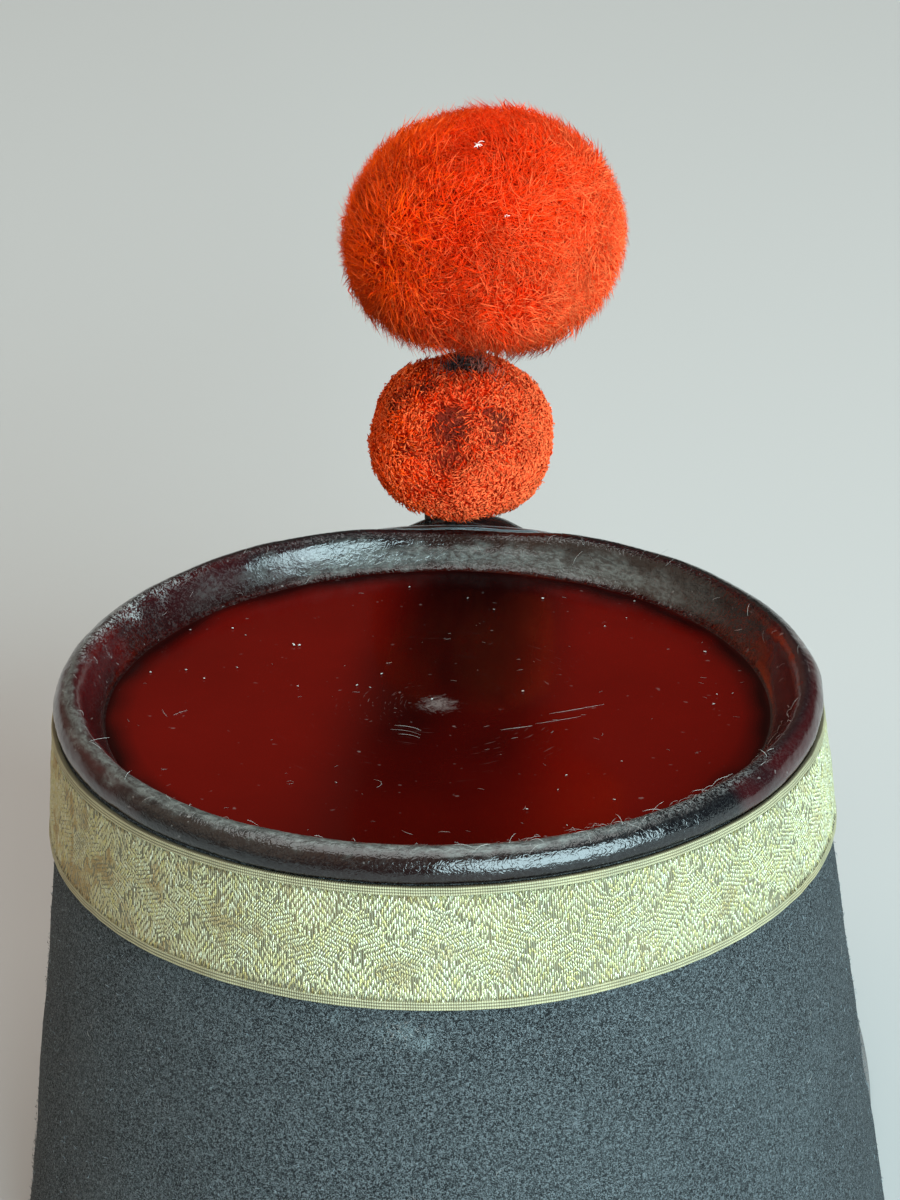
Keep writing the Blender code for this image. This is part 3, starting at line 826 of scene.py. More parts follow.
class ShakoCrown(bpy.types.PropertyGroup):
    """The patent leather crown."""
    # painted reflection: the disc's maroon stands for red surroundings mirrored in its black lacquer
    disc_red_reflection_colour: paint((0.098, 0.0025, 0.0012), "Disc", "Black-cherry lacquer of the sunken disc")
    # painted shade: the disc's dark band (a painted reflection of the pompoms), its shaded border and the
    # rim's foot
    disc_painted_shade_colour: paint((0.007, 0.0008, 0.0008), "Disc shade", "Where the lacquer is darkest")
    rim_colour: paint((0.004, 0.004, 0.005), "Rim", "Black of the rolled rim")
    # painted reflection: maroon where the black rim mirrors red surroundings
    rim_red_reflection_colour: paint((0.050, 0.003, 0.004), "Rim red", "Maroon that shows through the rim's black")
    # painted reflection: grey where the rim's lacquer mirrors the lamps and the room
    painted_sheen_colour: paint((0.160, 0.177, 0.165), "Bloom", "Grey bloom on the rim's inner slope")
    scuff_colour: paint((0.30, 0.31, 0.30), "Scuffs", "Worn leather")
    dust_colour: paint((0.42, 0.40, 0.38), "Dust", "Dust on the lacquer")
    wave_depth: size(0.00007, "Waves", "How far the disc's surface swells and dips")
    wrinkle_depth: size(0.00005, "Wrinkles", "Depth of the wrinkles in the rim's lacquer")
    dent_depth: size(0.00012, "Dents", "How far the rim strays from a true oval")
    front_dip: size(0.0011, "Front dip", "How far the crest dips at the front, behind the tab")
    left_pinch: size(0.0005, "Left pinch", "How far the rim is pressed in at the hat's left")


class ShakoLace(bpy.types.PropertyGroup):
    """The metal lace."""
    gilt_colour: paint((0.62, 0.62, 0.385), "Gilt", "Most of the metal thread")
    yellow_colour: paint((0.61, 0.56, 0.23), "Yellow", "Threads that kept their gilding")
    # also painted glints on the palest floats, and a painted highlight on the ground's ribs
    pale_colour: paint((0.74, 0.78, 0.60), "Pale", "Threads worn to silver")
    ground_colour: paint((0.105, 0.084, 0.036), "Ground", "Silk between the threads")
    # darker colour laid between the cords of the edges
    groove_colour: paint((0.050, 0.036, 0.020), "Grooves", "Dirt between the cords of the edges")
    edge_colour: paint((0.330, 0.290, 0.160), "Edges", "Corded edges")
    tarnish_colour: paint((0.37, 0.26, 0.115), "Tarnish", "Stained thread")
    thread_pitch: size(0.00042, "Thread pitch", "From one metal thread to the next")
    long_float: size(0.0017, "Long floats", "Length of the long floats")
    short_float: size(0.0009, "Short floats", "Length of the short floats")
    thread_height: size(0.00015, "Thread height", "Height of a float over the ground")
    edge_width: size(0.0018, "Edge width", "Width of each corded edge")


class ShakoFittings(bpy.types.PropertyGroup):
    """Peak, tab and holder."""
    leather_colour: paint((0.010, 0.010, 0.011), "Leather", "Black patent leather")
    crack_colour: paint((0.10, 0.09, 0.08), "Cracks", "Cracks and dust")
    # painted highlight: the pale top edge of the tab, lit from above
    edge_colour: paint((0.40, 0.44, 0.46), "Edge", "Rubbed grey edge of the tab")
    edge_radius: size(0.0006, "Edge rounding", "Rounding of cut leather edges")
    tab_rise: size(0.0010, "Tab rise", "How far the tab's top stands over the modelled one")
    holder_swell: size(0.0006, "Holder swell", "How far the holder's top swells up")
    holder_slump: bpy.props.FloatProperty(
        name="Holder slump", description="Share of its depth that the holder has lost at its top",
        default=0.16, min=0.0, max=0.5, subtype="FACTOR")


class ShakoPompoms(bpy.types.PropertyGroup):
    """The two pompoms."""
    root_colour: paint((0.62, 0.012, 0.001), "Roots", "Wool deep in the pile")
    tip_colour: paint((0.86, 0.038, 0.001), "Tips", "Wool at the pile's surface")
    # orange laid on the fibres towards each pompom's left
    orange_colour: paint((0.97, 0.110, 0.001), "Orange", "Wool that has faded to orange")
    # also painted light: the pompoms' fibres pale towards the hat's right and low down
    pale_colour: paint((0.98, 0.21, 0.070), "Pale", "The palest fibres")
    # also the colour of the painted shade on the large pompom
    bare_and_shade_colour: paint((0.180, 0.022, 0.012), "Bare spots", "Where moths have eaten the pile")
    large_fibres: amount(33000, "Large fibres", "Fibres of the large pompom's outside")
    inner_fibres: amount(20000, "Inner fibres", "Fibres under the large pile")
    small_fibres: amount(30000, "Small fibres", "Fibres of the small pompom")
    large_width: size(0.00018, "Large fibre width", "Width of a fibre of the large pompom at its belly")
    small_width: size(0.00030, "Small fibre width", "Width of a fibre of the small pompom at its belly")


class ShakoDust(bpy.types.PropertyGroup):
    """Loose fibres, specks and scratches."""
    pale_colour: paint((0.55, 0.55, 0.52), "Pale", "Palest lint")
    dark_colour: paint((0.16, 0.12, 0.11), "Dark", "Darkest lint")
    hair_radius: size(0.00003, "Hair radius", "Half the thickness of a hair")
    rim_hairs: amount(190, "Rim hairs", "Hairs caught on the rim")
    cloth_hairs: amount(110, "Cloth hairs", "Hairs on the cloth")
    smear_hairs: amount(36, "Smear hairs", "Hairs in the dusty smear on the cloth")


class ShakoStage(bpy.types.PropertyGroup):
    """Floor, light and camera."""
    floor_colour: paint((0.46, 0.455, 0.445), "Floor", "Plain pale floor")
    floor_size: size(8.0, "Floor size", "Side of the floor")
    window_power: watts(98.0, "Window", "Light from behind at the right")
    ceiling_power: watts(15.0, "Ceiling", "Light from above")
    fill_power: watts(5.0, "Fill", "Light from the left")
    lens: bpy.props.FloatProperty(name="Lens", description="The camera's focal length in millimetres",
                                  default=120.0, min=1.0, unit="CAMERA")


# ---------------- body
BODY_COLUMNS = 320
CLOTH_ROWS = 56
EDGE_SHARE = 0.02  # wall share at which its rounded lower edge begins
EDGE_POINTS = 7  # points of the half circle round that edge
Smear = namedtuple("Smear", "angle share wide tall")
SMEARS = (  # dusty places on the cloth under the lace, behind
    Smear(math.radians(188.5), 0.764, 0.030, 0.012),
    Smear(math.radians(180.5), 0.752, 0.040, 0.014),
    Smear(math.radians(177.0), 0.738, 0.030, 0.016),
)


def body_section():
    """The wall's section as shares of its height and growths outwards.

    It runs down the outside, round the lower edge on a half circle, and up the inside.
    """
    outside = np.concatenate((np.linspace(1, LACE_FOOT_SHARE, 4)[:-1],
                              np.linspace(LACE_FOOT_SHARE, EDGE_SHARE, CLOTH_ROWS)))
    half = WALL / 2
    turn = np.linspace(0, math.pi, EDGE_POINTS)
    edge_share = half * (1 - np.sin(turn)) / CROWN_CENTRE[2]
    inside = np.linspace(EDGE_SHARE, 1, 9)
    share = np.concatenate((outside, edge_share, inside))
    grow = np.concatenate((outside * 0, half * (np.cos(turn) - 1), inside * 0 - WALL))
    return share, grow, len(outside)


class SHAKO_OT_add_body(bpy.types.Operator):
    """Add the cloth-covered body and its nap"""
    bl_idname = "shako.add_body"
    bl_label = "Body"

    def execute(self, context):
        settings = context.scene.shako_cloth
        share, grow, outer_rows = body_section()
        angle = even_angles(BODY_COLUMNS)
        points = wall_points(angle[None, :], share[:, None], grow[:, None])
        swell = 0.7 * lumps(points, 0.030, 11) + 0.3 * lumps(points, 0.007, 12)
        fade = np.sin(np.clip(share / LACE_FOOT_SHARE, 0, 1) * math.pi)[:, None]
        fade = fade * (np.arange(len(share)) < outer_rows)[:, None]
        points = points + grid_normals(points) * (swell * fade * settings.lump_depth)[..., None]
        faces = grid_faces(len(share), BODY_COLUMNS, round_rows=True)
        smear = sum(np.exp(-((angle - spot.angle) / spot.wide) ** 2)[None, :]
                    * np.exp(-((share - spot.share) / spot.tall) ** 2)[:, None] for spot in SMEARS)
        smear = 1.5 * np.clip(smear, 0, 1) * smoothstep(-0.7, 0.9, lumps(points, 0.003, 13))
        body = new_piece("cloth_body", points, [faces], cloth_finish(settings), {"smear": smear},
                         replaces=("body",))
        body.data.materials.append(inner_felt_finish(settings))
        inner = np.repeat(np.arange(len(share)) > outer_rows + EDGE_POINTS // 2, BODY_COLUMNS)
        body.data.polygons.foreach_set("material_index", inner.astype(np.int32))
        self.add_nap(settings)
        return {"FINISHED"}

    def add_nap(self, settings):
        """Short fibres that lie over the cloth in every direction, most of them dark."""
        chance = np.random.default_rng(21)
        count = settings.nap_fibres
        angle = chance.uniform(0, FULL_TURN, count)
        share = chance.uniform(0.004, LACE_FOOT_SHARE - 0.006, count)
        roots, out, lie = wall_headings(angle, share, -0.00005, 0.0, chance)
        length = settings.nap_length * chance.uniform(0.5, 1.4, count)[:, None]
        tips = roots + length * unit(lie + out * chance.uniform(0.05, 0.32, count)[:, None])
        radii = chance.uniform(0.00005, 0.00009, count)
        points, faces, _grow = fibres(roots, tips, radii, 0.5, 0.00015, chance)
        tone = np.repeat(chance.random(count) ** 2, FIBRE_POINTS)
        new_piece("cloth_nap", points, [faces], nap_finish(settings), {"tone": tone})


# ---------------- crown
CrownSection = namedtuple("CrownSection", "inset height")
CROWN_TOP_SIDE = (
    CrownSection(0.0112, -DISC_DEPTH),  # disc, where it starts to turn up
    CrownSection(0.0096, -DISC_DEPTH + 0.0002),
    CrownSection(0.0082, -DISC_DEPTH + 0.0013),
    CrownSection(0.0064, -0.0036),  # inner slope
    CrownSection(0.0051, -0.0012),
    CrownSection(0.0035, 0.0),  # crest
    CrownSection(0.0013, -0.0010),
    CrownSection(0.0003, -0.0025),
    CrownSection(0.0, -0.0038),  # outermost
    CrownSection(0.0002, -0.0051),
    CrownSection(0.0007, RIM_UNDERSIDE),
)
CROWN_UNDERSIDE = (
    CrownSection(0.0012, RIM_UNDERSIDE - 0.00002),
    CrownSection(0.0050, RIM_UNDERSIDE),
    CrownSection(0.0096, -DISC_DEPTH - LEATHER + 0.0002),
    CrownSection(0.0112, -DISC_DEPTH - LEATHER),
)
CROWN_COLUMNS = 640
DISC_ROWS = 16
RIM_STEPS = 5
RIM_FOOT, RIM_SLOPE = 0.0104, 0.0066  # insets where the rim starts, and where it is all rim


def share_of_rim(inset):
    """0 on the disc, 1 on the rim, and an S-curve where the one turns up into the other."""
    return smoothstep(RIM_FOOT, RIM_SLOPE, inset)


def rim_lift(angle, inset, height, settings):
    """Where the rim's crest is pressed down at the front and in at the left."""
    front = np.exp(-(np.arctan2(np.sin(angle - FRONT_TURN), np.cos(angle - FRONT_TURN)) / 0.26) ** 4)
    crest = smoothstep(-0.0050, -0.0012, height) * smoothstep(0.0108, 0.0070, inset)
    left = smoothstep(0.5, 1.0, -np.sin(angle))
    return -settings.left_pinch * left, -settings.front_dip * front * crest


class SHAKO_OT_add_crown(bpy.types.Operator):
    """Add the sunken patent leather disc and its rolled rim"""
    bl_idname = "shako.add_crown"
    bl_label = "Crown"

    def execute(self, context):
        settings = context.scene.shako_crown
        angle = even_angles(CROWN_COLUMNS)[None, :]
        top = smooth_curve(CROWN_TOP_SIDE, RIM_STEPS)
        section = np.vstack((top, CROWN_UNDERSIDE))
        inset, height = section[:, :1], section[:, 1:]
        pinch, dip = rim_lift(angle, inset, height, settings)
        rim = plan_points(RIM, angle, pinch * share_of_rim(inset) - inset, height + dip)
        shrink = np.linspace(0.03, 1, DISC_ROWS, endpoint=False)[:, None]
        first = CROWN_TOP_SIDE[0]
        aside = RIM.aside + (RIM.half_width - first.inset) * shrink * np.sin(angle)
        forward = RIM.forward + (RIM.half_length - first.inset) * shrink * np.cos(angle)
        disc = crown_points(aside, forward, first.height)
        under = crown_points(aside, forward, first.height - LEATHER)[::-1]
        points = np.concatenate((disc, rim, under))
        rows = len(points)
        on_top = np.arange(rows) < DISC_ROWS + len(top)
        flat = np.zeros(DISC_ROWS)
        rim_share = np.concatenate((flat, share_of_rim(section[:, 0]), flat)) * on_top
        heights = self.relief(points, rim_share[:, None], settings) * on_top[:, None]
        vertices, faces = closed_tube(points + grid_normals(points) * heights[..., None])
        above = np.append(np.repeat(on_top, CROWN_COLUMNS), (True, False))
        fields = (self.wear, self.shade, self.red, self.painted_sheen)  # all 0 on the plain underside
        values = {field.__name__: field(vertices) * above for field in fields}
        crown = new_piece("crown_leather", vertices, faces, disc_finish(settings), values,
                          replaces=("crown_top",))
        crown.data.materials.append(rim_finish(settings))
        rim_rows = np.append(np.arange(rows - 1) >= DISC_ROWS + RIM_STEPS, (False, True))
        finish = np.repeat(rim_rows, CROWN_COLUMNS).astype(np.int32)
        crown.data.polygons.foreach_set("material_index", finish)
        return {"FINISHED"}

    def relief(self, points, rim_share, settings):
        """Height of the lacquer: soft waves on the disc, wrinkles and small dents on the rim."""
        waves = settings.wave_depth * lumps(points, 0.035, 31) * (1 - rim_share)
        wrinkles = settings.wrinkle_depth * (creases(points, 0.0016, 32) + 0.6 * creases(points, 0.0033, 33))
        dents = settings.dent_depth * (0.6 * lumps(points, 0.028, 34) + 0.25 * lumps(points, 0.009, 35))
        return waves + (wrinkles + dents) * rim_share

    def plan_place(self, points):
        """A point's turn round the crown in degrees, and its inset from the rim's outermost line."""
        local = points - CROWN_CENTRE
        aside = local[:, 0] - RIM.aside
        forward = local @ CROWN_ALONG - RIM.forward
        share = np.hypot(aside / RIM.half_width, forward / RIM.half_length)
        return np.degrees(np.arctan2(aside, forward)), (1 - share) * RIM.half_width

    def wear(self, points):
        """How scuffed the rim is: a crust in front at the left, and rubs behind at the right.

        Each is a plateau of the turn, made ragged by soft noise, times a plateau or a bell of the
        inset.  A few flecks lie beside the crust.
        """
        turn, inset = self.plan_place(points)
        turn = turn % 360 + 3 * lumps(points, 0.012, 36)
        ragged = inset - 0.0005 * lumps(points, 0.006, 40)
        crust = plateau(turn, 262, 280, 298, 312) * np.exp(-((ragged - 0.0042) / 0.0010) ** 2)
        flecks = plateau(turn, 275, 292, 318, 342) * plateau(inset, 0.0030, 0.0045, 0.0080, 0.0100)
        near = plateau(turn, 110, 130, 146, 165) * plateau(inset, 0.0012, 0.0030, 0.0050, 0.0085)
        return np.clip(0.03 + 0.95 * crust + 0.03 * flecks + 0.42 * near, 0, 1)

    def shade(self, points):
        """Where shade is painted on the disc: a soft band along its middle, most in front, a painted
        reflection of the dark pompoms, and painted shade at its border.
        """
        local = points - CROWN_CENTRE
        reach = smoothstep(-0.050, 0.026, local[:, 1] + 0.006 * lumps(points, 0.02, 37))
        across = np.exp(-((local[:, 0] - 0.0024) / (0.0215 - 0.0045 * reach)) ** 4)
        turn, inset = self.plan_place(points)
        front = 0.5 + 0.5 * np.cos(np.radians(turn))
        far_left = plateau(turn % 360, 292, 306, 330, 352)
        inset = inset + 0.0005 * lumps(points, 0.012, 43)
        place = 0.0096 + 0.0006 * front - 0.0008 * far_left
        wide = 0.0021 + 0.0017 * front - 0.0010 * far_left
        # painted shade where the disc turns up into the rim
        border = 0.95 * np.exp(-((inset - place) / wide) ** 2)
        return np.clip(np.maximum(across * (0.64 + 0.36 * reach), border), 0, 1)

    def red(self, points):
        """Where a maroon reflection is painted on the rim's black: inside and outside its crest, at both
        sides.

        It is full at the left and the right, and weaker in front of the left.
        """
        turn, inset = self.plan_place(points)
        turn = turn % 360 + 3 * lumps(points, 0.010, 38)
        left = plateau(turn, 214, 234, 282, 294)
        right = plateau(turn, 60, 76, 112, 130)
        brown = 0.40 * plateau(turn, 284, 300, 318, 336)
        crest = np.exp(-((inset - 0.0030) / 0.0014) ** 2)
        outside = smoothstep(0.0022, 0.0008, inset)
        return np.clip((left + right + brown) * (1 - 0.8 * crest) * (1 - 0.45 * outside), 0, 1)

    def painted_sheen(self, points):
        """Where a grey reflection is painted on the rim: low on the inner slope in front, and a painted
        highlight along the crest behind.

        The line along the crest grows thinner towards the left.
        """
        turn, inset = self.plan_place(points)
        away = turn % 360
        inset = inset + 0.0003 * lumps(points, 0.008, 47) + 0.0002 * lumps(points, 0.0025, 49)
        slope = plateau(inset, 0.0050, 0.0064, 0.0074, 0.0088)
        turn = turn + 3 * lumps(points, 0.010, 39)
        bright = 0.68 * plateau(turn, -37, -27, 34, 50)
        dim = 0.20 * plateau(turn, -62, -40, 48, 64)
        thin = smoothstep(238, 280, away)
        crest = np.exp(-((inset - 0.0031) / (0.0014 - 0.0007 * thin)) ** 4)
        rear = plateau(away, 138, 158, 272, 292)
        patch = 0.75 + 0.25 * smoothstep(-0.8, 0.6, lumps(points, 0.004, 48))
        return np.clip(np.maximum(slope * np.maximum(bright, dim), crest * rear * patch), 0, 1)


# ---------------- lace
LACE_COLUMNS = 540
ZIGZAGS = 30  # points of the lace's zigzag in one round
LACE_CORDS = 3
FLOAT_POINTS = 6


def lace_points(angle, down, height):
    """Points of the lace, so far down its own width and out from the wall.

    The old lace has shrunk: its lower edge has crept up, most at the right, and its top has
    slipped a little at the left.
    """
    top = 0.0006 * smoothstep(0.2, 1, -np.sin(angle))
    foot = LACE_WIDTH - 0.0009 - 0.0013 * smoothstep(0.2, 1, np.sin(angle))
    drop = top + (foot - top) * down / LACE_WIDTH
    return wall_points(angle, 1 - (1 - LACE_FOOT_SHARE) * drop / LACE_WIDTH, GAP + height)


def lace_height(angle, down, settings):
    """Relief of the ground: cords along each edge, a field sunk between them, and soft ripples.

    Returns the height and how far each point lies in the groove between two cords.
    """
    from_edge = np.minimum(down, LACE_WIDTH - down)
    ridge = np.sqrt(np.abs(np.sin(math.pi * LACE_CORDS * from_edge / settings.edge_width)))
    on_edge = 1 - smoothstep(settings.edge_width * 0.96, settings.edge_width * 1.04, from_edge)
    bulge = LACE_BULGE * np.sin(math.pi * down / LACE_WIDTH)
    place = lace_points(angle, down, 0.0)
    ripple = 0.00003 * lumps(place, 0.006, 41) + 0.00005 * lumps(place, 0.03, 42)
    groove = np.clip(2.2 - 2.6 * ridge, 0, 1) * on_edge
    return LACE_THICKNESS - 0.00026 + bulge + ripple + 0.00032 * ridge * on_edge, groove


class SHAKO_OT_add_lace(bpy.types.Operator):
    """Add the woven metal lace"""
    bl_idname = "shako.add_lace"
    bl_label = "Lace"

    def execute(self, context):
        settings = context.scene.shako_lace
        self.add_ground(settings)
        self.add_threads(settings)
        return {"FINISHED"}

    def add_ground(self, settings):
        """The band itself: its section goes down the outside and back up behind."""
        edge = settings.edge_width * 1.05
        top = np.linspace(0, edge, 19)
        field = np.linspace(edge, LACE_WIDTH - edge, 8)[1:-1]
        down = np.concatenate((top, field, LACE_WIDTH - top[::-1]))[:, None]
        back = np.linspace(LACE_WIDTH, 0, 3)[:, None]
        angle = even_angles(LACE_COLUMNS)[None, :]
        height, groove = lace_height(angle, down, settings)
        points = np.concatenate((lace_points(angle, down, height), lace_points(angle, back, 0.0)))
        flat = np.zeros((len(back), LACE_COLUMNS))
        from_edge = np.minimum(down, LACE_WIDTH - down) + 0 * angle
        along = np.broadcast_to(np.abs(angle - math.pi) * HEAD_RADIUS, points.shape[:2])
        faces = grid_faces(len(points), LACE_COLUMNS, round_rows=True)
        new_piece("lace_ground", points, [faces], lace_ground_finish(settings),
                  {"edge": np.concatenate((from_edge < settings.edge_width, flat)),
                   "groove": np.concatenate((groove + 0 * angle, flat)), "along": along},
                  replaces=("lace_band",))

    def add_threads(self, settings):
        """Floats of metal thread, one column beside another.

        A zigzag band of short slanting floats runs through a field of long upright ones.  Each
        float starts a share of its length further on than its neighbour's, and the step
        changes sign with the zigzag's slope.  In the band every other row slants back.
        """
        chance = np.random.default_rng(43)
        columns = ZIGZAGS * int(round(FULL_TURN * HEAD_RADIUS * 1.02 / settings.thread_pitch / ZIGZAGS))
        index = np.arange(columns)
        cycle = index * ZIGZAGS / columns
        saw = np.abs((cycle % 1) * 2 - 1)
        slope = np.where((cycle % 1) < 0.5, 1.0, -1.0)
        field = LACE_WIDTH - 2 * settings.edge_width
        middle = settings.edge_width + field * (0.28 + 0.44 * saw)
        floats = []
        kinds = ((settings.long_float, False, 0.38), (settings.short_float, True, 0.22))
        for length, inside, stagger in kinds:
            count = int(field / length) + 2
            place = np.arange(count)[None, :] + (stagger * slope * index)[:, None] % 1 - 0.5
            down = settings.edge_width + place * length + chance.normal(0, 0.10, place.shape) * length
            away = np.abs(down - middle[:, None])
            in_band = away < 0.24 * field + chance.normal(0, 0.0012, place.shape)
            keep = (in_band == inside) & (down > settings.edge_width - 0.2 * length)
            keep &= down < LACE_WIDTH - settings.edge_width + 0.2 * length
            column, row = np.nonzero(keep)
            slant = (0.30 * (1 - 2 * (row // 2 % 2)) if inside else 0.05) * slope[column]
            floats.append(np.stack((column, down[keep], np.full(len(column), length), slant), -1))
        column, down, length, slant = np.concatenate(floats).T
        self.float_mesh(column * FULL_TURN / columns, down, length, slant, chance, settings)

    def float_mesh(self, angle, down, length, slant, chance, settings):
        """Each float is a low roof: four corners in the ground, a ridge of two points and a floor."""
        count = len(angle)
        half = length * chance.uniform(0.42, 0.50, count)
        low = settings.edge_width * 0.92
        start = np.maximum(down - half, low)
        end = np.minimum(down + half, LACE_WIDTH - low)
        width = settings.thread_pitch * chance.uniform(0.38, 0.52, count)
        height = settings.thread_height * chance.uniform(0.7, 1.25, count)
        slant = slant + chance.normal(0, 0.12, count)
        across = np.array((-1, 1, 1, -1, 0, 0))[:, None]
        ends = np.array((0, 0, 1, 1, 0.18, 0.82))[:, None]
        lifted = np.array((0, 0, 0, 0, 1, 1))[:, None]
        place = start + (end - start) * ends
        beside = width * across + slant * (place - down)
        sunk = 1 - 0.35 * smoothstep(0.6, 1.8, lumps(lace_points(angle, down, 0.0), 0.012, 44))
        turned = angle + beside / HEAD_RADIUS
        ground, _groove = lace_height(turned, place, settings)
        points = lace_points(turned, place, ground - 0.00003 + lifted * height * sunk).transpose(1, 0, 2)
        first = np.arange(count)[:, None, None] * FLOAT_POINTS
        quads = np.array(((0, 4, 5, 3), (4, 1, 2, 5), (0, 3, 2, 1)))
        gables = np.array(((0, 1, 4), (2, 3, 5)))
        faces = [(first + quads).reshape(-1, 4), (first + gables).reshape(-1, 3)]
        tone = np.repeat(chance.random(count), FLOAT_POINTS)
        tarnish = np.repeat(self.tarnish(angle, down, chance), FLOAT_POINTS)
        new_piece("lace_threads", points, faces, lace_thread_finish(settings),
                  {"tone": tone, "tarnish": tarnish})

    def tarnish(self, angle, down, chance):
        """How brown each float is: stains of soft noise, and browner towards the hat's left side."""
        place = lace_points(angle, down, 0.0)
        left = smoothstep(0.005, -0.070, place[:, 0])
        stains = smoothstep(1.0, 2.6, lumps(place, 0.010, 45) + 0.5 * lumps(place, 0.003, 46) + 0.9 * left)
        return np.clip(0.50 * stains + 0.42 * left + chance.normal(0.03, 0.08, len(angle)), 0, 1)


# ---------------- tab, holder, post and pin
CORNER_POINTS = 5  # points of a quarter circle at a loop's corner
SLAB_ROWS = 14  # loops up a slab between its two round ends
SLAB_STRAIGHT = 30  # points along each long side of its loops


def rounded_loop(half_width, half_depth, radius, straight):
    """Points of a rectangle with round corners, anticlockwise from the middle of the right side.

    Each corner is a quarter circle, and the long sides are divided evenly.
    """
    turn = np.linspace(0, math.pi / 2, CORNER_POINTS)
    arc = np.stack((np.cos(turn), np.sin(turn)), -1) * radius
    middle = np.array((half_width - radius, half_depth - radius))
    top = np.linspace(1, -1, straight + 2)[1:-1] * middle[0]
    top = np.stack((top, np.full(straight, half_depth)), -1)
    upper_right = arc + middle
    upper_left = arc[::-1] * (-1, 1) + middle * (-1, 1)
    upper = np.concatenate((upper_right, top, upper_left))
    return np.concatenate((upper, -upper))


class SHAKO_OT_add_fittings(bpy.types.Operator):
    """Add the leather tab and the holder, and give the post and the pin a wire finish"""
    bl_idname = "shako.add_fittings"
    bl_label = "Front fittings"

    def execute(self, context):
        settings = context.scene.shako_fittings
        leather = black_leather_finish(settings)
        self.add_tab(settings, leather)
        self.add_holder(settings, leather)
        wire = wire_finish()
        for node in ("pompom_post", "holder_pin"):
            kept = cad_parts[node]
            kept.data.materials.clear()
            kept.data.materials.append(wire)
            kept.data.shade_smooth()
        return {"FINISHED"}

    def rounded_rows(self, settings, half_width, half_depth, shares):
        """Loops up a slab that shrink at both ends, so that every edge is round.

        Returns the sideways and depth numbers of each loop and the wall share of each row.
        """
        radius = min(settings.edge_radius, half_depth * 0.96)
        turn = np.linspace(0, math.pi / 2, 4)
        inset = radius * (1 - np.sin(turn))
        reach = radius * (1 - np.cos(turn)) / CROWN_CENTRE[2]
        body = np.linspace(shares[1] - reach[-1], shares[0] + reach[-1], SLAB_ROWS)[1:-1]
        share = np.concatenate((shares[1] - reach, body, shares[0] + reach[::-1]))
        insets = np.concatenate((inset, body * 0, inset[::-1]))
        loops = np.stack([rounded_loop(half_width - each, half_depth - each, radius - each + 1e-5,
                                       SLAB_STRAIGHT) for each in insets])
        return loops[..., 0], loops[..., 1], share[:, None]

    def add_tab(self, settings, leather):
        """The tab: a bent slab with round edges that hugs the wall over the lace."""
        half_width = TAB_HALF_ANGLE * HEAD_RADIUS
        half_depth = TAB_THICKNESS / 2
        shares = (TAB_SHARES[0], TAB_SHARES[1] + settings.tab_rise / CROWN_CENTRE[2])
        across, depth, share = self.rounded_rows(settings, half_width, half_depth, shares)
        corner = 0.003 * np.abs(across / half_width) ** 4
        climb = smoothstep(shares[0], shares[1], share)
        points = wall_points(FRONT_TURN + across / HEAD_RADIUS, share - corner * climb,
                             TAB_INNER + half_depth + depth)
        # painted highlight: paler towards the tab's top edge
        pale = smoothstep(shares[1] - 0.010, shares[1] - 0.003, share) + 0 * across
        self.slab_piece("front_tab", points, leather, "pompom_tab", pale)

    def add_holder(self, settings, leather):
        """The holder: a leather pocket on the tab, deepest in its middle, open round the post.

        Its depth is flat over the middle and falls in an S-curve to each side.  Over its top
        the surface swells and runs inwards to the bore's edge and down the bore.
        """
        half_width = HOLDER_HALF_ANGLE * HEAD_RADIUS
        across, depth, share = self.rounded_rows(settings, half_width, 0.5, HOLDER_SHARES)
        climb = np.clip((share - HOLDER_SHARES[0]) / (HOLDER_SHARES[1] - HOLDER_SHARES[0]), 0, 1)
        middle = HOLDER_DEPTHS[0] + (HOLDER_DEPTHS[1] - HOLDER_DEPTHS[0]) * climb
        bell = smoothstep(1.0, 0.22, np.abs(across) / half_width)
        deep = HOLDER_EDGE + (middle - HOLDER_EDGE) * bell * (1 - settings.holder_slump * climb)
        outer = wall_points(FRONT_TURN + across / HEAD_RADIUS, share, HOLDER_INNER + (0.5 + depth) * deep)
        top = outer[0]
        bore = POST_RADIUS + GAP
        reach = (top - SMALL_CENTRE) @ POST_AXIS
        turn = np.arctan2((top - SMALL_CENTRE) @ POST_OTHER, (top - SMALL_CENTRE) @ POST_SIDE)
        mouth = post_points(reach.mean(), turn, bore)
        swell = settings.holder_swell * bell[:1].T
        lip = [top + (mouth - top) * step + CROWN_UP * swell * math.sin(math.pi * step)
               for step in (1.0, 0.85, 0.7, 0.55, 0.4, 0.25, 0.12)]
        well = post_points(reach.mean() - np.array((0.016, 0.008, 0.002))[:, None], turn, bore)
        points = np.concatenate((well, np.stack(lip), outer))
        self.slab_piece("leather_holder", points, leather, "pompom_holder")

    def slab_piece(self, name, points, leather, node, pale=0.0):
        """Close a tube of loops at both ends and make it a piece."""
        vertices, faces = closed_tube(points[:, ::-1])
        pale = np.append(np.broadcast_to(pale, points.shape[:2]).ravel(), (0, 0))
        new_piece(name, vertices, faces, leather, {"pale": pale}, replaces=(node,))


# ---------------- pompoms
Pile = namedtuple("Pile", "name middle half_size slant power flat_foot foot_power fibres width "
                  "root_share belly bend tufts pull lean droop scatter uneven glow spots seed")


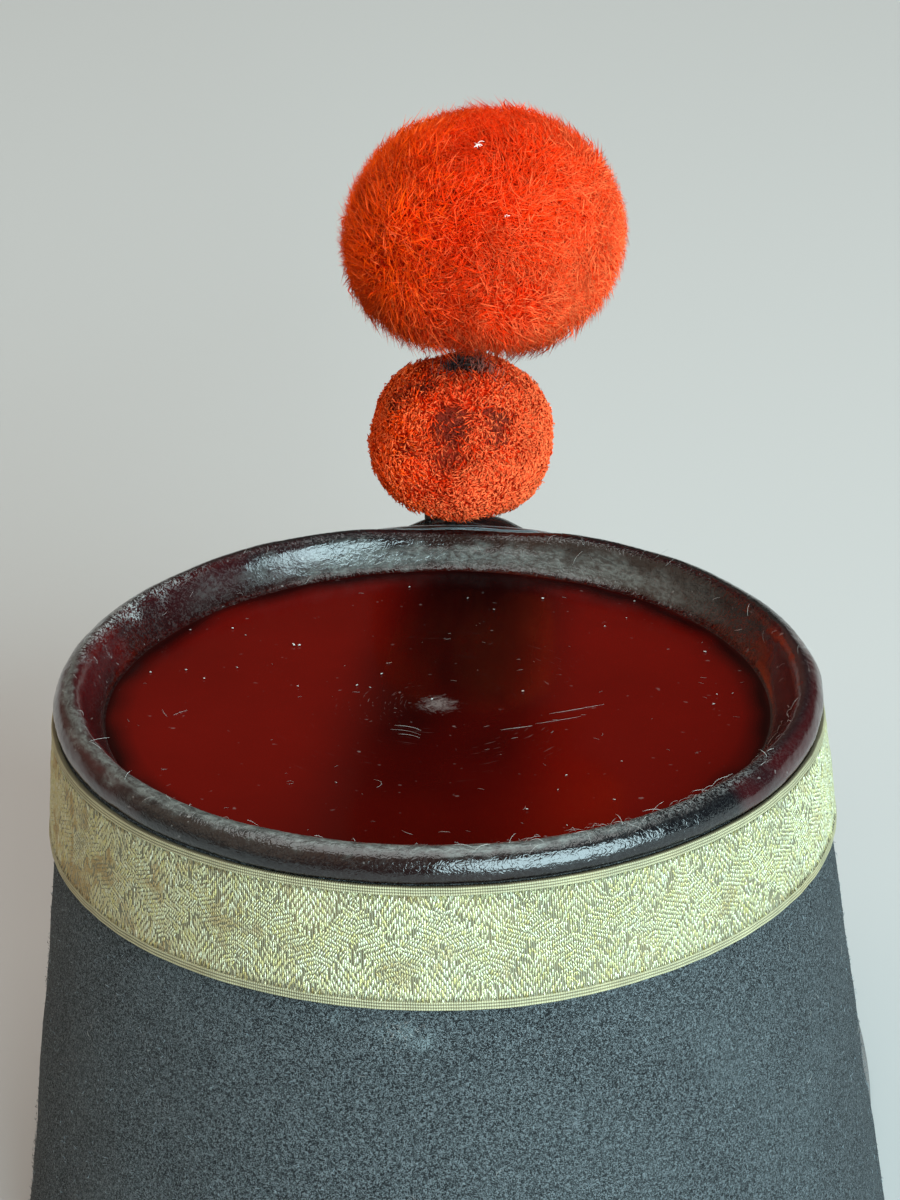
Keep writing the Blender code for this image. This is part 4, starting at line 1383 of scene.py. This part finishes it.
def pompom_reach(directions, pile):
    """Distance to the pompom's outside.

    It is an oval whose power is 2 for an ellipsoid and more for a barrel, fuller to its upper
    right and lower left by its slant.  Its lower half has a power of its own, and is less tall
    by its flat foot.
    """
    flat = np.hypot(directions[:, 0] / pile.half_size[0], directions[:, 1] / pile.half_size[1])
    below = smoothstep(0.1, -0.3, directions[:, 2])
    tall = np.abs(directions[:, 2] / (pile.half_size[2] * (1 - pile.flat_foot * below)))
    power = pile.power + (pile.foot_power - pile.power) * below
    oval = (flat ** power + tall ** power) ** (-1 / power)
    world = pile_axes(directions)
    diagonal = (world @ RIGHT) * directions[:, 2]
    return oval * (1 + pile.slant * diagonal + 0.012 * lumps(directions, 0.8, 51))


def tufted(directions, tufts, pull, seed):
    """Directions drawn towards the nearest of evenly strewn tuft middles, and which one that is."""
    chance = np.random.default_rng(seed)
    middles = unit(even_directions(tufts) + chance.normal(0, 0.9 / math.sqrt(tufts), (tufts, 3)))
    nearest = np.concatenate([np.argmax(block @ middles.T, 1)
                              for block in np.array_split(directions, 64)])
    strength = pull * chance.uniform(0.4, 1.4, tufts)[nearest][:, None]
    return unit(directions * (1 - strength) + middles[nearest] * strength), nearest


Spot = namedtuple("Spot", "right back up radius depth")
BARE_SPOTS = (  # directions in the crown's frame, as the small pompom is seen from behind
    Spot(-0.02, 0.88, 0.47, 0.27, 1.0),
    Spot(0.50, 0.76, 0.57, 0.17, 1.0),
    Spot(0.51, 0.88, 0.32, 0.13, 0.9),
    Spot(-0.05, 1.00, 0.08, 0.21, 0.7),
    Spot(-0.48, 0.48, 0.82, 0.17, 1.0),
    Spot(-0.72, 0.47, 0.60, 0.19, 0.9),
    Spot(0.80, 0.20, 0.78, 0.12, 0.6),
    Spot(-0.62, 0.90, 0.12, 0.09, 0.7),
    Spot(-0.55, -0.75, 0.20, 0.20, 1.0),
    Spot(0.60, -0.80, -0.10, 0.15, 1.0),
)
SHADED_SPOTS = (  # painted shade on the large pompom, darker at its left and underside, placed in the same way
    Spot(-0.80, 0.45, 0.30, 0.20, 0.55),
    Spot(-0.62, 0.48, -0.62, 0.42, 0.32),
    Spot(-0.05, 0.78, -0.70, 0.30, 0.22),
    Spot(-0.45, 0.70, 0.52, 0.10, 0.35),
)
Speck = namedtuple("Speck", "centre radius right back up length fibres")
SPECKS = (  # white fluff on the pompoms, placed in the same way
    Speck(LARGE_CENTRE, 0.0264, 0.03, 0.53, 0.85, 0.0013, 8),
    Speck(LARGE_CENTRE, 0.0276, 0.25, 0.88, 0.42, 0.0006, 3),
    Speck(SMALL_CENTRE, 0.0168, -0.13, 0.66, -0.74, 0.0014, 14),
)


def crown_heading(place):
    """The unit vector of a spot or speck, whose numbers go right, back and up over the crown."""
    return unit(place.right * RIGHT - place.back * CROWN_ALONG + place.up * CROWN_UP)


def spotted(directions, spots):
    """How bare a pompom is, and on the large one how much painted shade lies on it: soft discs with ragged
    borders about set directions.
    """
    world = pile_axes(directions)
    wobble = 0.025 * lumps(directions, 0.25, 64) + 0.02 * lumps(directions, 0.08, 67)
    bare = np.zeros(len(directions))
    for spot in spots:
        away = np.linalg.norm(world - crown_heading(spot), axis=-1) + wobble
        bare = np.maximum(bare, spot.depth * (1 - smoothstep(spot.radius * 0.75, spot.radius * 1.1, away)))
    return np.clip(bare * (0.95 + 0.15 * lumps(directions, 0.10, 65)), 0, 1)


def pile_axes(directions):
    """Turn directions in the pompom's own frame, whose last axis is the post's, to the world's."""
    return directions @ np.stack((POST_SIDE, POST_OTHER, POST_AXIS))


def wool_core(name, pile, share, material):
    """A closed oval under the pile, at a share of its size."""
    rows, columns = 36, 72
    latitude = np.linspace(math.pi / 2, -math.pi / 2, rows + 2)[1:-1, None]
    turn = even_angles(columns)[None, ::-1]
    flat = np.cos(latitude)
    directions = np.stack(np.broadcast_arrays(flat * np.cos(turn), flat * np.sin(turn),
                                              np.sin(latitude)), -1).reshape(-1, 3)
    directions = np.concatenate((directions, ((0, 0, 1), (0, 0, -1))))
    reach = pompom_reach(directions, pile) * share
    points = pile.middle + pile_axes(directions) * reach[:, None]
    zero = np.zeros(len(points))
    values = {"grow": zero + 0.5, "tone": zero, "orange": zero, "bare": spotted(directions, pile.spots)}
    new_piece(name, points, capped_faces(rows, columns), material, values)


class SHAKO_OT_add_pompoms(bpy.types.Operator):
    """Add the large and the small wool pompom and the thread between them"""
    bl_idname = "shako.add_pompoms"
    bl_label = "Pompoms"

    def execute(self, context):
        settings = context.scene.shako_pompoms
        wool = wool_finish("long_wool", settings)
        felted = wool_finish("clipped_wool", settings)
        large = Pile(name="large_pile", middle=LARGE_CENTRE, half_size=LARGE_SIZE * (1.0, 1.0, 1.045),
                     slant=0.090, power=2.1, flat_foot=0.14, foot_power=2.5, fibres=settings.large_fibres,
                     width=settings.large_width, root_share=0.82, belly=0.5, bend=0.0010, tufts=2400,
                     pull=0.34, lean=0.75, droop=0.18, scatter=0.80, uneven=0.011, glow=-0.04,
                     spots=SHADED_SPOTS, seed=61)
        under = large._replace(name="large_pile_inner", fibres=settings.inner_fibres,
                               width=settings.large_width * 1.5, belly=0.62, tufts=2600, pull=0.30,
                               droop=0.10, scatter=0.9, uneven=0.030, seed=62)
        small = Pile(name="small_pile", middle=SMALL_CENTRE, half_size=SMALL_SIZE * (0.965, 0.965, 1.0),
                     slant=0.05, power=2.5, flat_foot=0.09, foot_power=3.1, fibres=settings.small_fibres,
                     width=settings.small_width, root_share=0.958, belly=0.72, bend=0.00034, tufts=1500,
                     pull=0.50, lean=0.9, droop=0.0, scatter=2.0, uneven=0.008, glow=0.22,
                     spots=BARE_SPOTS, seed=63)
        self.add_pile(large, wool, ("pompom_large",))
        self.add_pile(under, wool, ())
        wool_core("large_core", large, 0.88, wool)
        self.add_pile(small, felted, ("pompom_small",))
        wool_core("small_core", small, 0.95, felted)
        self.add_binding()
        self.add_strands()
        self.add_specks()
        return {"FINISHED"}

    def add_pile(self, pile, material, nodes):
        """Fibres from inside the core out to the surface.

        A fibre's tip lies on the pompom's outside, drawn to its tuft, leaning with a smooth
        swirl, drooping, and a little at random; its length varies.
        """
        chance = np.random.default_rng(pile.seed)
        count = pile.fibres
        spread = 1.0 / math.sqrt(count)
        directions = unit(even_directions(count) + chance.normal(0, spread, (count, 3)))
        drawn, tuft = tufted(directions, pile.tufts, pile.pull, pile.seed + 1)
        swirl = np.stack([lumps(directions, 0.55, pile.seed + seed) for seed in (2, 3, 4)], -1)
        swirl = swirl - directions * (swirl * directions).sum(-1, keepdims=True)
        shaft = 1 - pile.root_share
        lean = swirl * pile.lean + np.array((0, 0, -pile.droop))
        aimed = unit(drawn + lean * shaft + chance.normal(0, pile.scatter * shaft, (count, 3)))
        reach = pompom_reach(directions, pile)
        bare = spotted(directions, pile.spots) * (chance.random(count) > 0.13)
        tuft_length = np.random.default_rng(pile.seed + 5).normal(0, 1, pile.tufts)[tuft]
        length = 1 - np.abs(chance.normal(0, pile.uneven, count)) + 0.35 * pile.uneven * tuft_length
        length = length - 0.030 * bare
        roots = pile.middle + pile_axes(directions) * (reach * (pile.root_share - 0.01 * bare))[:, None]
        tips = pile.middle + pile_axes(aimed) * (reach * length)[:, None]
        radii = pile.width / 2 * chance.uniform(0.7, 1.3, count) * (1 - 0.4 * bare)
        points, faces, grow = fibres(roots, tips, radii, pile.belly, pile.bend, chance)
        place = pile_axes(drawn)
        # painted light: fibres are paler towards the hat's right and low down, where the lamp at the right
        # falls, and each pile's glow pales it all over
        painted_light = 0.75 * place[:, 0] - 0.45 * place @ CROWN_UP + 0.10 * lumps(directions, 0.4, 68)
        tuft_tone = np.random.default_rng(pile.seed + 6).uniform(0, 1, pile.tufts)[tuft]
        tone = 0.60 * chance.random(count) + 0.28 * tuft_tone
        tone = tone + 0.36 * smoothstep(-0.4, 0.8, painted_light) + pile.glow
        # more orange towards each pompom's left, a little uneven
        orange = 0.75 * smoothstep(0.15, 0.85, 0.12 * lumps(directions, 0.3, 69) - place[:, 0])
        each = {"tone": np.clip(tone, 0, 1), "orange": np.clip(orange, 0, 1), "bare": bare}
        values = {key: np.repeat(numbers, FIBRE_POINTS) for key, numbers in each.items()}
        values["grow"] = grow
        new_piece(pile.name, points, [faces], material, values, replaces=nodes)

    def add_binding(self):
        """Dark thread wound round the neck between the pompoms: a tube along a helix."""
        turns, stations, sides, thread = 8, 300, 6, 0.00035
        low = SMALL_SIZE[2] * 0.90
        high = POMPOM_SPACING - LARGE_SIZE[2] * 0.82
        share = np.linspace(0, 1, stations)
        turn = share * turns * FULL_TURN
        rise = low + (high - low) * share
        spine = post_points(rise, turn, 0.0027 + 0.0003 * np.sin(turn * 2.3))
        outward = unit(spine - post_points(rise))
        ring = even_angles(sides)[None, ::-1, None]
        tube = spine[:, None] + thread * (np.cos(ring) * outward[:, None] + np.sin(ring) * POST_AXIS)
        vertices = np.concatenate((tube.reshape(-1, 3), spine[:1], spine[-1:]))
        material = lint_finish("binding_thread", (0.030, 0.012, 0.009), (0.010, 0.005, 0.004))
        tone = lumps(vertices, 0.001, 66) * 0.3 + 0.5
        new_piece("neck_thread", vertices, capped_faces(stations, sides), material, {"tone": tone})

    def add_strands(self):
        """Frayed dark ends of the binding that stand up round the neck, most at its left behind."""
        chance = np.random.default_rng(72)
        count = 240
        away = np.abs(chance.normal(0, 0.0026, count)) + 0.0010
        place = post_points(chance.uniform(0.0126, 0.0156, count), 0.0, 0.0)
        back = chance.uniform(0.2, 1.0, count)[:, None]
        left = chance.random(count) < 0.6
        aside = np.where(left, -1.0, 0.8)[:, None]
        outward = unit(aside * RIGHT * chance.uniform(0.2, 1.0, (count, 1)) - back * FORWARD)
        starts = place + outward * away[:, None]
        ahead = unit(POST_AXIS + outward * chance.normal(0.25, 0.25, (count, 1))
                     + RIGHT * chance.normal(0, 0.25, (count, 1)))
        normals = unit(outward - ahead * (outward * ahead).sum(-1, keepdims=True))
        points, faces = hairs(starts, ahead, normals, chance.uniform(0.0024, 0.0048, count),
                              chance.normal(0, 0.7, count), chance.uniform(0, 0.0006, count), 0.00009)
        tone = np.where(left, 0.35 * chance.random(count) ** 2, chance.uniform(0.2, 1.0, count))
        tone = np.repeat(tone, len(points) // count)
        material = lint_finish("frayed_thread", (0.34, 0.09, 0.06), (0.014, 0.010, 0.012))
        new_piece("neck_strands", points, faces, material, {"tone": tone})

    def add_specks(self):
        """White fluff caught in the pile: a few crossed hairs at each charted place."""
        chance = np.random.default_rng(73)
        counts = [speck.fibres for speck in SPECKS]
        centre, radius, length, way = (np.repeat(np.array(part), counts, 0) for part in (
            [speck.centre for speck in SPECKS], [speck.radius for speck in SPECKS],
            [speck.length for speck in SPECKS], [crown_heading(speck) for speck in SPECKS]))
        count = len(radius)
        heading = unit(RIGHT + 0.5 * UP + chance.normal(0, 0.45, (count, 3)))
        ahead = unit(heading - way * (heading * way).sum(-1, keepdims=True))
        starts = centre + way * radius[:, None] + ahead * (chance.normal(-0.5, 0.25, count) * length)[:, None]
        starts = starts + np.cross(way, ahead) * (chance.normal(0, 0.22, count) * length)[:, None]
        points, faces = hairs(starts, ahead, way, length * chance.uniform(0.7, 1.2, count),
                              chance.normal(0, 0.8, count), length * 0.15, 0.00010)
        tone = np.repeat(chance.uniform(0.4, 1, count), len(points) // count)
        material = lint_finish("white_fluff", (0.92, 0.86, 0.80), (0.75, 0.45, 0.35))
        new_piece("pompom_fluff", points, faces, material, {"tone": tone})


# ---------------- peak
PEAK_COLUMNS = 110
PEAK_EDGE = 0.42  # rounding of the peak's edges, as a share of its thickness
PEAK_STRAIGHT = 26  # points across the peak on each side of its section


class SHAKO_OT_add_peak(bpy.types.Operator):
    """Add the patent leather peak"""
    bl_idname = "shako.add_peak"
    bl_label = "Peak"

    def execute(self, context):
        settings = context.scene.shako_fittings
        column = np.linspace(-1, 1, PEAK_COLUMNS)[:, None]
        loop = rounded_loop(0.5, PEAK_THICKNESS / 2, PEAK_THICKNESS * PEAK_EDGE, PEAK_STRAIGHT)
        step = np.clip(loop[None, :, 0] + 0.5, 0, 1)
        depth = loop[None, :, 1] - PEAK_THICKNESS / 2
        angle = column * PEAK_HALF_ANGLE
        foot = wall_points(angle, LACE_FOOT_SHARE)[..., 2]
        share = LACE_FOOT_SHARE * (PEAK_ROOT + depth) / foot
        root = wall_points(angle, share, 2 * GAP)
        turn = column * math.pi / 2
        edge_x = PEAK_HALF_WIDTH * np.sin(turn)
        edge_y = BASE_Y + PEAK_HORN_Y + (PEAK_FRONT - PEAK_HORN_Y) * np.cos(turn)
        aside = root[..., 0] + (edge_x - root[..., 0]) * step
        forward = root[..., 1] + (edge_y - root[..., 1]) * step
        height = PEAK_ROOT + depth - PEAK_DROP * step ** PEAK_CURVE
        points = np.stack(np.broadcast_arrays(aside, forward, height), -1)
        points[..., 2] += 0.00015 * lumps(points, 0.03, 71)
        vertices, faces = closed_tube(points)
        leather = bpy.data.materials.get("black_patent") or black_leather_finish(settings)
        new_piece("leather_peak", vertices, faces, leather, replaces=("peak",))
        return {"FINISHED"}


# ---------------- lint and scratches
Mark = namedtuple("Mark", "right forward length heading bend")
DISC_MARKS = (  # places in the crown's plane in millimetres, headings in degrees
    Mark(20.8, -1.4, 11.0, 24, 0.08),
    Mark(12.5, -9.0, 6.0, 20, 0.05),
    Mark(18.6, -5.9, 9.0, 22, 0.10),
    Mark(-50.5, -5.0, 3.6, -75, 0.3),
    Mark(-48.0, -7.5, 3.2, 60, -0.4),
    Mark(-23.6, -34.0, 3.4, -90, 5.2),
    Mark(-7.5, -34.4, 4.2, 15, 2.6),
    Mark(-11.5, 18.6, 1.2, 10, 0.5),
    Mark(-1.5, 30.5, 1.3, 5, 0.6),
    Mark(-7.0, -8.6, 5.0, 8, -0.7),
    Mark(-7.6, -10.4, 6.2, 10, -0.8),
    Mark(-6.0, -12.2, 4.4, 10, -0.8),
    Mark(19.1, -41.0, 1.4, 50, 0.8),
    Mark(7.3, -50.9, 2.2, 160, 0.6),
    Mark(0.9, -52.2, 2.6, 170, -0.7),
)


Dot = namedtuple("Dot", "right forward radius")
DISC_DOTS = (  # specks on the disc and at the rim's foot, in millimetres
    Dot(-30.3, 25.8, 0.26), Dot(-29.2, 25.4, 0.16), Dot(-49.0, 12.5, 0.14), Dot(-39.5, 14.5, 0.14),
    Dot(-12.0, 13.5, 0.13), Dot(-16.0, 8.0, 0.15), Dot(-13.5, 7.5, 0.12), Dot(-45.0, 9.0, 0.12),
    Dot(-15.0, -33.0, 0.12), Dot(15.5, 51.5, 0.16), Dot(15.0, 8.0, 0.13), Dot(-1.5, 3.0, 0.14),
    Dot(25.5, -27.0, 0.12), Dot(24.5, -33.0, 0.11), Dot(19.5, -41.0, 0.14), Dot(34.5, -36.0, 0.15),
    Dot(27.0, -46.5, 0.12), Dot(31.0, -51.5, 0.16), Dot(41.0, -49.0, 0.13), Dot(35.0, -20.5, 0.10),
    Dot(6.5, 45.5, 0.12), Dot(1.0, 50.5, 0.10), Dot(-11.0, 55.0, 0.12), Dot(-56.5, 25.5, 0.15),
    Dot(-51.0, 31.0, 0.12), Dot(-43.0, 32.5, 0.13), Dot(-40.0, 29.5, 0.12), Dot(-55.5, 11.0, 0.13),
    Dot(-27.0, 7.0, 0.12), Dot(33.5, 51.5, 0.12), Dot(32.5, 43.5, 0.10), Dot(28.5, 39.0, 0.10),
    Dot(48.0, 28.5, 0.18), Dot(50.5, 5.0, 0.16), Dot(51.0, 9.5, 0.11), Dot(54.0, 10.0, 0.10),
)


HAIR_LIFT = 0.0002  # hairs lie this far off the wall, over the nap's roots
DISC_REACH = 0.058  # fine marks are strewn this far from the disc's middle
FINE_MARKS = 60


class SHAKO_OT_add_dust(bpy.types.Operator):
    """Add loose hairs, specks and scratches"""
    bl_idname = "shako.add_dust"
    bl_label = "Dust and hairs"

    def execute(self, context):
        settings = context.scene.shako_dust
        lint = lint_finish("pale_lint", settings.pale_colour, settings.dark_colour)
        self.add_disc_marks(settings, lint)
        self.add_rim_hairs(settings, lint)
        self.add_cloth_hairs(settings, lint)
        return {"FINISHED"}

    def hair_piece(self, name, points, faces, count, lint, slot, chance, palest=1.0):
        """Make a piece of hairs, each with its own tone up to the palest."""
        tone = np.repeat(chance.uniform(0.1, 1, count) * palest, len(points) // count)
        new_piece(name, points, faces, lint, {"tone": tone})

    def add_disc_marks(self, settings, lint):
        """Scratches and fibres on the disc: the charted ones, and many fine curved ones."""
        chance = np.random.default_rng(81)
        charted = np.array(DISC_MARKS, float)
        dots = np.array(DISC_DOTS)
        fine, some = FINE_MARKS, len(dots)
        reach = DISC_REACH * np.sqrt(chance.random(fine))
        turn = chance.uniform(0, FULL_TURN, fine)
        wide = dots[:, 2] / 1000
        aside = np.concatenate((charted[:, 0] / 1000, dots[:, 0] / 1000, reach * np.sin(turn)))
        forward = np.concatenate((charted[:, 1] / 1000, dots[:, 1] / 1000, reach * np.cos(turn)))
        length = np.concatenate((charted[:, 2] / 1000, wide * 3.4, chance.uniform(0.0003, 0.0014, fine)))
        heading = np.concatenate((np.radians(charted[:, 3]), chance.normal(0, 0.5, some + fine)))
        bend = np.concatenate((charted[:, 4], 0 * wide, chance.normal(0, 0.5, fine)))
        radii = np.concatenate((np.full(len(charted), settings.hair_radius), wide,
                                np.full(fine, settings.hair_radius)))
        count = len(aside)
        starts = crown_points(aside, forward, 0.00012 - DISC_DEPTH)
        ahead = np.cos(heading)[:, None] * RIGHT + np.sin(heading)[:, None] * CROWN_ALONG
        normals = np.broadcast_to(CROWN_UP, starts.shape)
        points, faces = hairs(starts, ahead, normals, length, bend, np.full(count, 0.00002), radii)
        palest = np.repeat((1.0, 1.6, 0.35), (len(charted), some, fine))
        self.hair_piece("disc_marks", points, faces, count, lint, "crown_leather", chance, palest)

    def add_rim_hairs(self, settings, lint):
        """Hairs caught on the rim, most at its near right."""
        chance = np.random.default_rng(82)
        count = settings.rim_hairs
        angle = np.where(chance.random(count) < 0.6, chance.normal(math.radians(145), 0.45, count),
                         chance.uniform(0, FULL_TURN, count))
        inset = chance.uniform(0.002, 0.0085, count)
        table = smooth_curve(CROWN_TOP_SIDE, RIM_STEPS)[::-1]
        height = np.interp(inset, table[:, 0], table[:, 1])
        starts = plan_points(RIM, angle, -inset, height + 0.00015)
        here = plan_points(RIM, angle, -inset, height)
        around = unit(plan_points(RIM, angle + 0.01, -inset, height) - here)
        step = 0.0005
        before, after = (np.interp(inset + way * step, table[:, 0], table[:, 1]) for way in (-1, 1))
        rise = (after - before) / 2
        inward = unit(plan_points(RIM, angle, -inset - step, height + rise)
                      - plan_points(RIM, angle, -inset + step, height - rise))
        normals = unit(np.cross(inward, around))
        normals = normals * np.sign(normals @ CROWN_UP)[:, None]
        heading = chance.uniform(0, FULL_TURN, count)[:, None]
        ahead = np.cos(heading) * around + np.sin(heading) * 0.6 * inward
        ahead = unit(ahead - normals * (ahead * normals).sum(-1, keepdims=True))
        points, faces = hairs(starts, ahead, normals, chance.uniform(0.0010, 0.0038, count),
                              chance.normal(0, 0.5, count), chance.uniform(0.0001, 0.0005, count),
                              settings.hair_radius)
        self.hair_piece("rim_hairs", points, faces, count, lint, "crown_leather", chance)

    def add_cloth_hairs(self, settings, lint):
        """Short pale hairs and fluff on the cloth, some in a dusty smear under the lace behind."""
        chance = np.random.default_rng(83)
        count = settings.cloth_hairs + settings.smear_hairs
        smear = np.arange(count) < settings.smear_hairs
        spot = SMEARS[1]
        angle = np.where(smear, chance.normal(spot.angle, spot.wide, count),
                         chance.uniform(0, FULL_TURN, count))
        share = np.where(smear, np.clip(chance.normal(spot.share, spot.tall, count), 0, 0.765),
                         chance.uniform(0.02, LACE_FOOT_SHARE - 0.02, count))
        starts, normals, ahead = wall_headings(angle, share, HAIR_LIFT, HAIR_LIFT, chance)
        length = chance.uniform(0.0006, 0.0024, count) * np.where(smear, 0.6, 1.0)
        points, faces = hairs(starts, ahead, normals, length, chance.normal(0, 1.6, count),
                              chance.uniform(0, 0.0003, count), settings.hair_radius)
        self.hair_piece("cloth_hairs", points, faces, count, lint, "cloth", chance)


# ---------------- stage
CAMERA_PLACE = (0.06424, -0.60536, 0.53215)
CAMERA_AIM = (0.00043, -0.00775, 0.13567)
CAMERA_ROLL = math.radians(-1.576)
SENSOR = 36.0
WORLD_BRIGHT_WAY = (-0.60, -0.15, 0.79)
WORLD_BRIGHT = (0.330, 0.260, 0.200)
WORLD_DARK = (0.030, 0.024, 0.020)

Lamp = namedtuple("Lamp", "name place aim width height colour")
WINDOW = Lamp("window", (1.14, -1.26, 0.80), (0.0, 0.0, 0.09), 1.75, 1.3, (0.68, 0.93, 1.0))
CEILING = Lamp("ceiling", (-0.05, 0.20, 1.50), (0.0, 0.0, 0.1), 1.7, 0.9, (0.97, 1.0, 0.99))
FILL = Lamp("fill", (-1.3, -0.5, 1.35), (0.0, 0.0, 0.1), 2.2, 1.8, (1.0, 0.70, 0.48))


def look(place, aim):
    """The turn that points a lamp or a camera from its place at its aim."""
    return (Vector(aim) - Vector(place)).to_track_quat("-Z", "Y")


class SHAKO_OT_set_stage(bpy.types.Operator):
    """Add the pale floor, the soft lights and the camera"""
    bl_idname = "shako.set_stage"
    bl_label = "Stage"

    def execute(self, context):
        settings = context.scene.shako_stage
        self.add_floor(settings)
        self.add_lamp(WINDOW, settings.window_power)
        self.add_lamp(CEILING, settings.ceiling_power)
        self.add_lamp(FILL, settings.fill_power)
        self.add_world()
        self.add_camera(settings)
        context.scene.view_settings.view_transform = "Standard"
        return {"FINISHED"}

    def add_floor(self, settings):
        """A flat square of plain pale material."""
        half = settings.floor_size / 2
        corners = np.array(((-half, -half, 0), (half, -half, 0), (half, half, 0), (-half, half, 0)), float)
        material, _sketch = new_material("pale_floor", {
            "Base Color": settings.floor_colour, "Roughness": 0.85, "Specular IOR Level": 0.2})
        mesh = bpy.data.meshes.new("floor")
        mesh.from_pydata(corners.tolist(), [], [(0, 1, 2, 3)])
        mesh.materials.append(material)
        floor = add_object("floor", mesh)

    def add_lamp(self, lamp, power):
        """A soft area light that looks at its aim."""
        data = bpy.data.lights.new(lamp.name, "AREA")
        data.shape = "RECTANGLE"
        data.size = lamp.width
        data.size_y = lamp.height
        data.energy = power
        data.color = lamp.colour
        light = add_object(lamp.name, data)
        light.location = lamp.place
        light.rotation_euler = look(lamp.place, lamp.aim).to_euler()

    def add_world(self):
        """Dim warm surroundings, brightest above the hat's left and darkest low down at its right."""
        world = bpy.data.worlds.new("studio")
        world.use_nodes = True
        sketch = Sketch(world.node_tree)
        heading = sketch.add("ShaderNodeTexCoord").outputs["Generated"]
        facing = sketch.vector("DOT_PRODUCT", heading, WORLD_BRIGHT_WAY, "Value")
        tint = sketch.mix(sketch.between(facing, -0.1, 0.8), WORLD_DARK, WORLD_BRIGHT)
        sketch.put(world.node_tree.nodes["Background"].inputs["Color"], tint)
        bpy.context.scene.world = world

    def add_camera(self, settings):
        """The camera above the hat and behind it, a little to its right, as in the photograph."""
        data = bpy.data.cameras.new("camera")
        data.sensor_width = SENSOR
        data.lens = settings.lens
        data.clip_start = 0.01
        camera = add_object("camera", data)
        camera.location = CAMERA_PLACE
        turn = look(CAMERA_PLACE, CAMERA_AIM).to_matrix()
        camera.rotation_euler = (turn @ Matrix.Rotation(CAMERA_ROLL, 3, "Z")).to_euler()
        bpy.context.scene.camera = camera


# ---------------- panel and registration
SETTINGS = {
    "shako_cloth": ShakoCloth,
    "shako_crown": ShakoCrown,
    "shako_lace": ShakoLace,
    "shako_fittings": ShakoFittings,
    "shako_pompoms": ShakoPompoms,
    "shako_dust": ShakoDust,
    "shako_stage": ShakoStage,
}
OPERATORS = (
    SHAKO_OT_add_body,
    SHAKO_OT_add_crown,
    SHAKO_OT_add_lace,
    SHAKO_OT_add_fittings,
    SHAKO_OT_add_pompoms,
    SHAKO_OT_add_peak,
    SHAKO_OT_add_dust,
    SHAKO_OT_set_stage,
)


class SHAKO_PT_panel(bpy.types.Panel):
    """The hat's sizes and colours, and a button for each piece"""
    bl_idname = "SHAKO_PT_panel"
    bl_label = "Shako Hat"
    bl_space_type = "VIEW_3D"
    bl_region_type = "UI"
    bl_category = "Shako"

    def draw(self, context):
        for operator in OPERATORS:
            self.layout.operator(operator.bl_idname)
        for name, group in SETTINGS.items():
            box = self.layout.box()
            box.label(text=group.__doc__)
            for key in group.__annotations__:
                box.prop(getattr(context.scene, name), key)


CLASSES = (*SETTINGS.values(), *OPERATORS, SHAKO_PT_panel)


def register():
    """Register the classes and hang the settings on the scene."""
    for each in CLASSES:
        bpy.utils.register_class(each)
    for name, group in SETTINGS.items():
        setattr(bpy.types.Scene, name, bpy.props.PointerProperty(type=group))


def unregister():
    """Undo register."""
    for name in SETTINGS:
        delattr(bpy.types.Scene, name)
    for each in reversed(CLASSES):
        bpy.utils.unregister_class(each)


def main():
    """Build the hat and its stage."""
    register()
    for operator in OPERATORS:
        group, name = operator.bl_idname.split(".")
        getattr(getattr(bpy.ops, group), name)()
    bpy.context.view_layer.update()


if __name__ == "__main__":
    main()
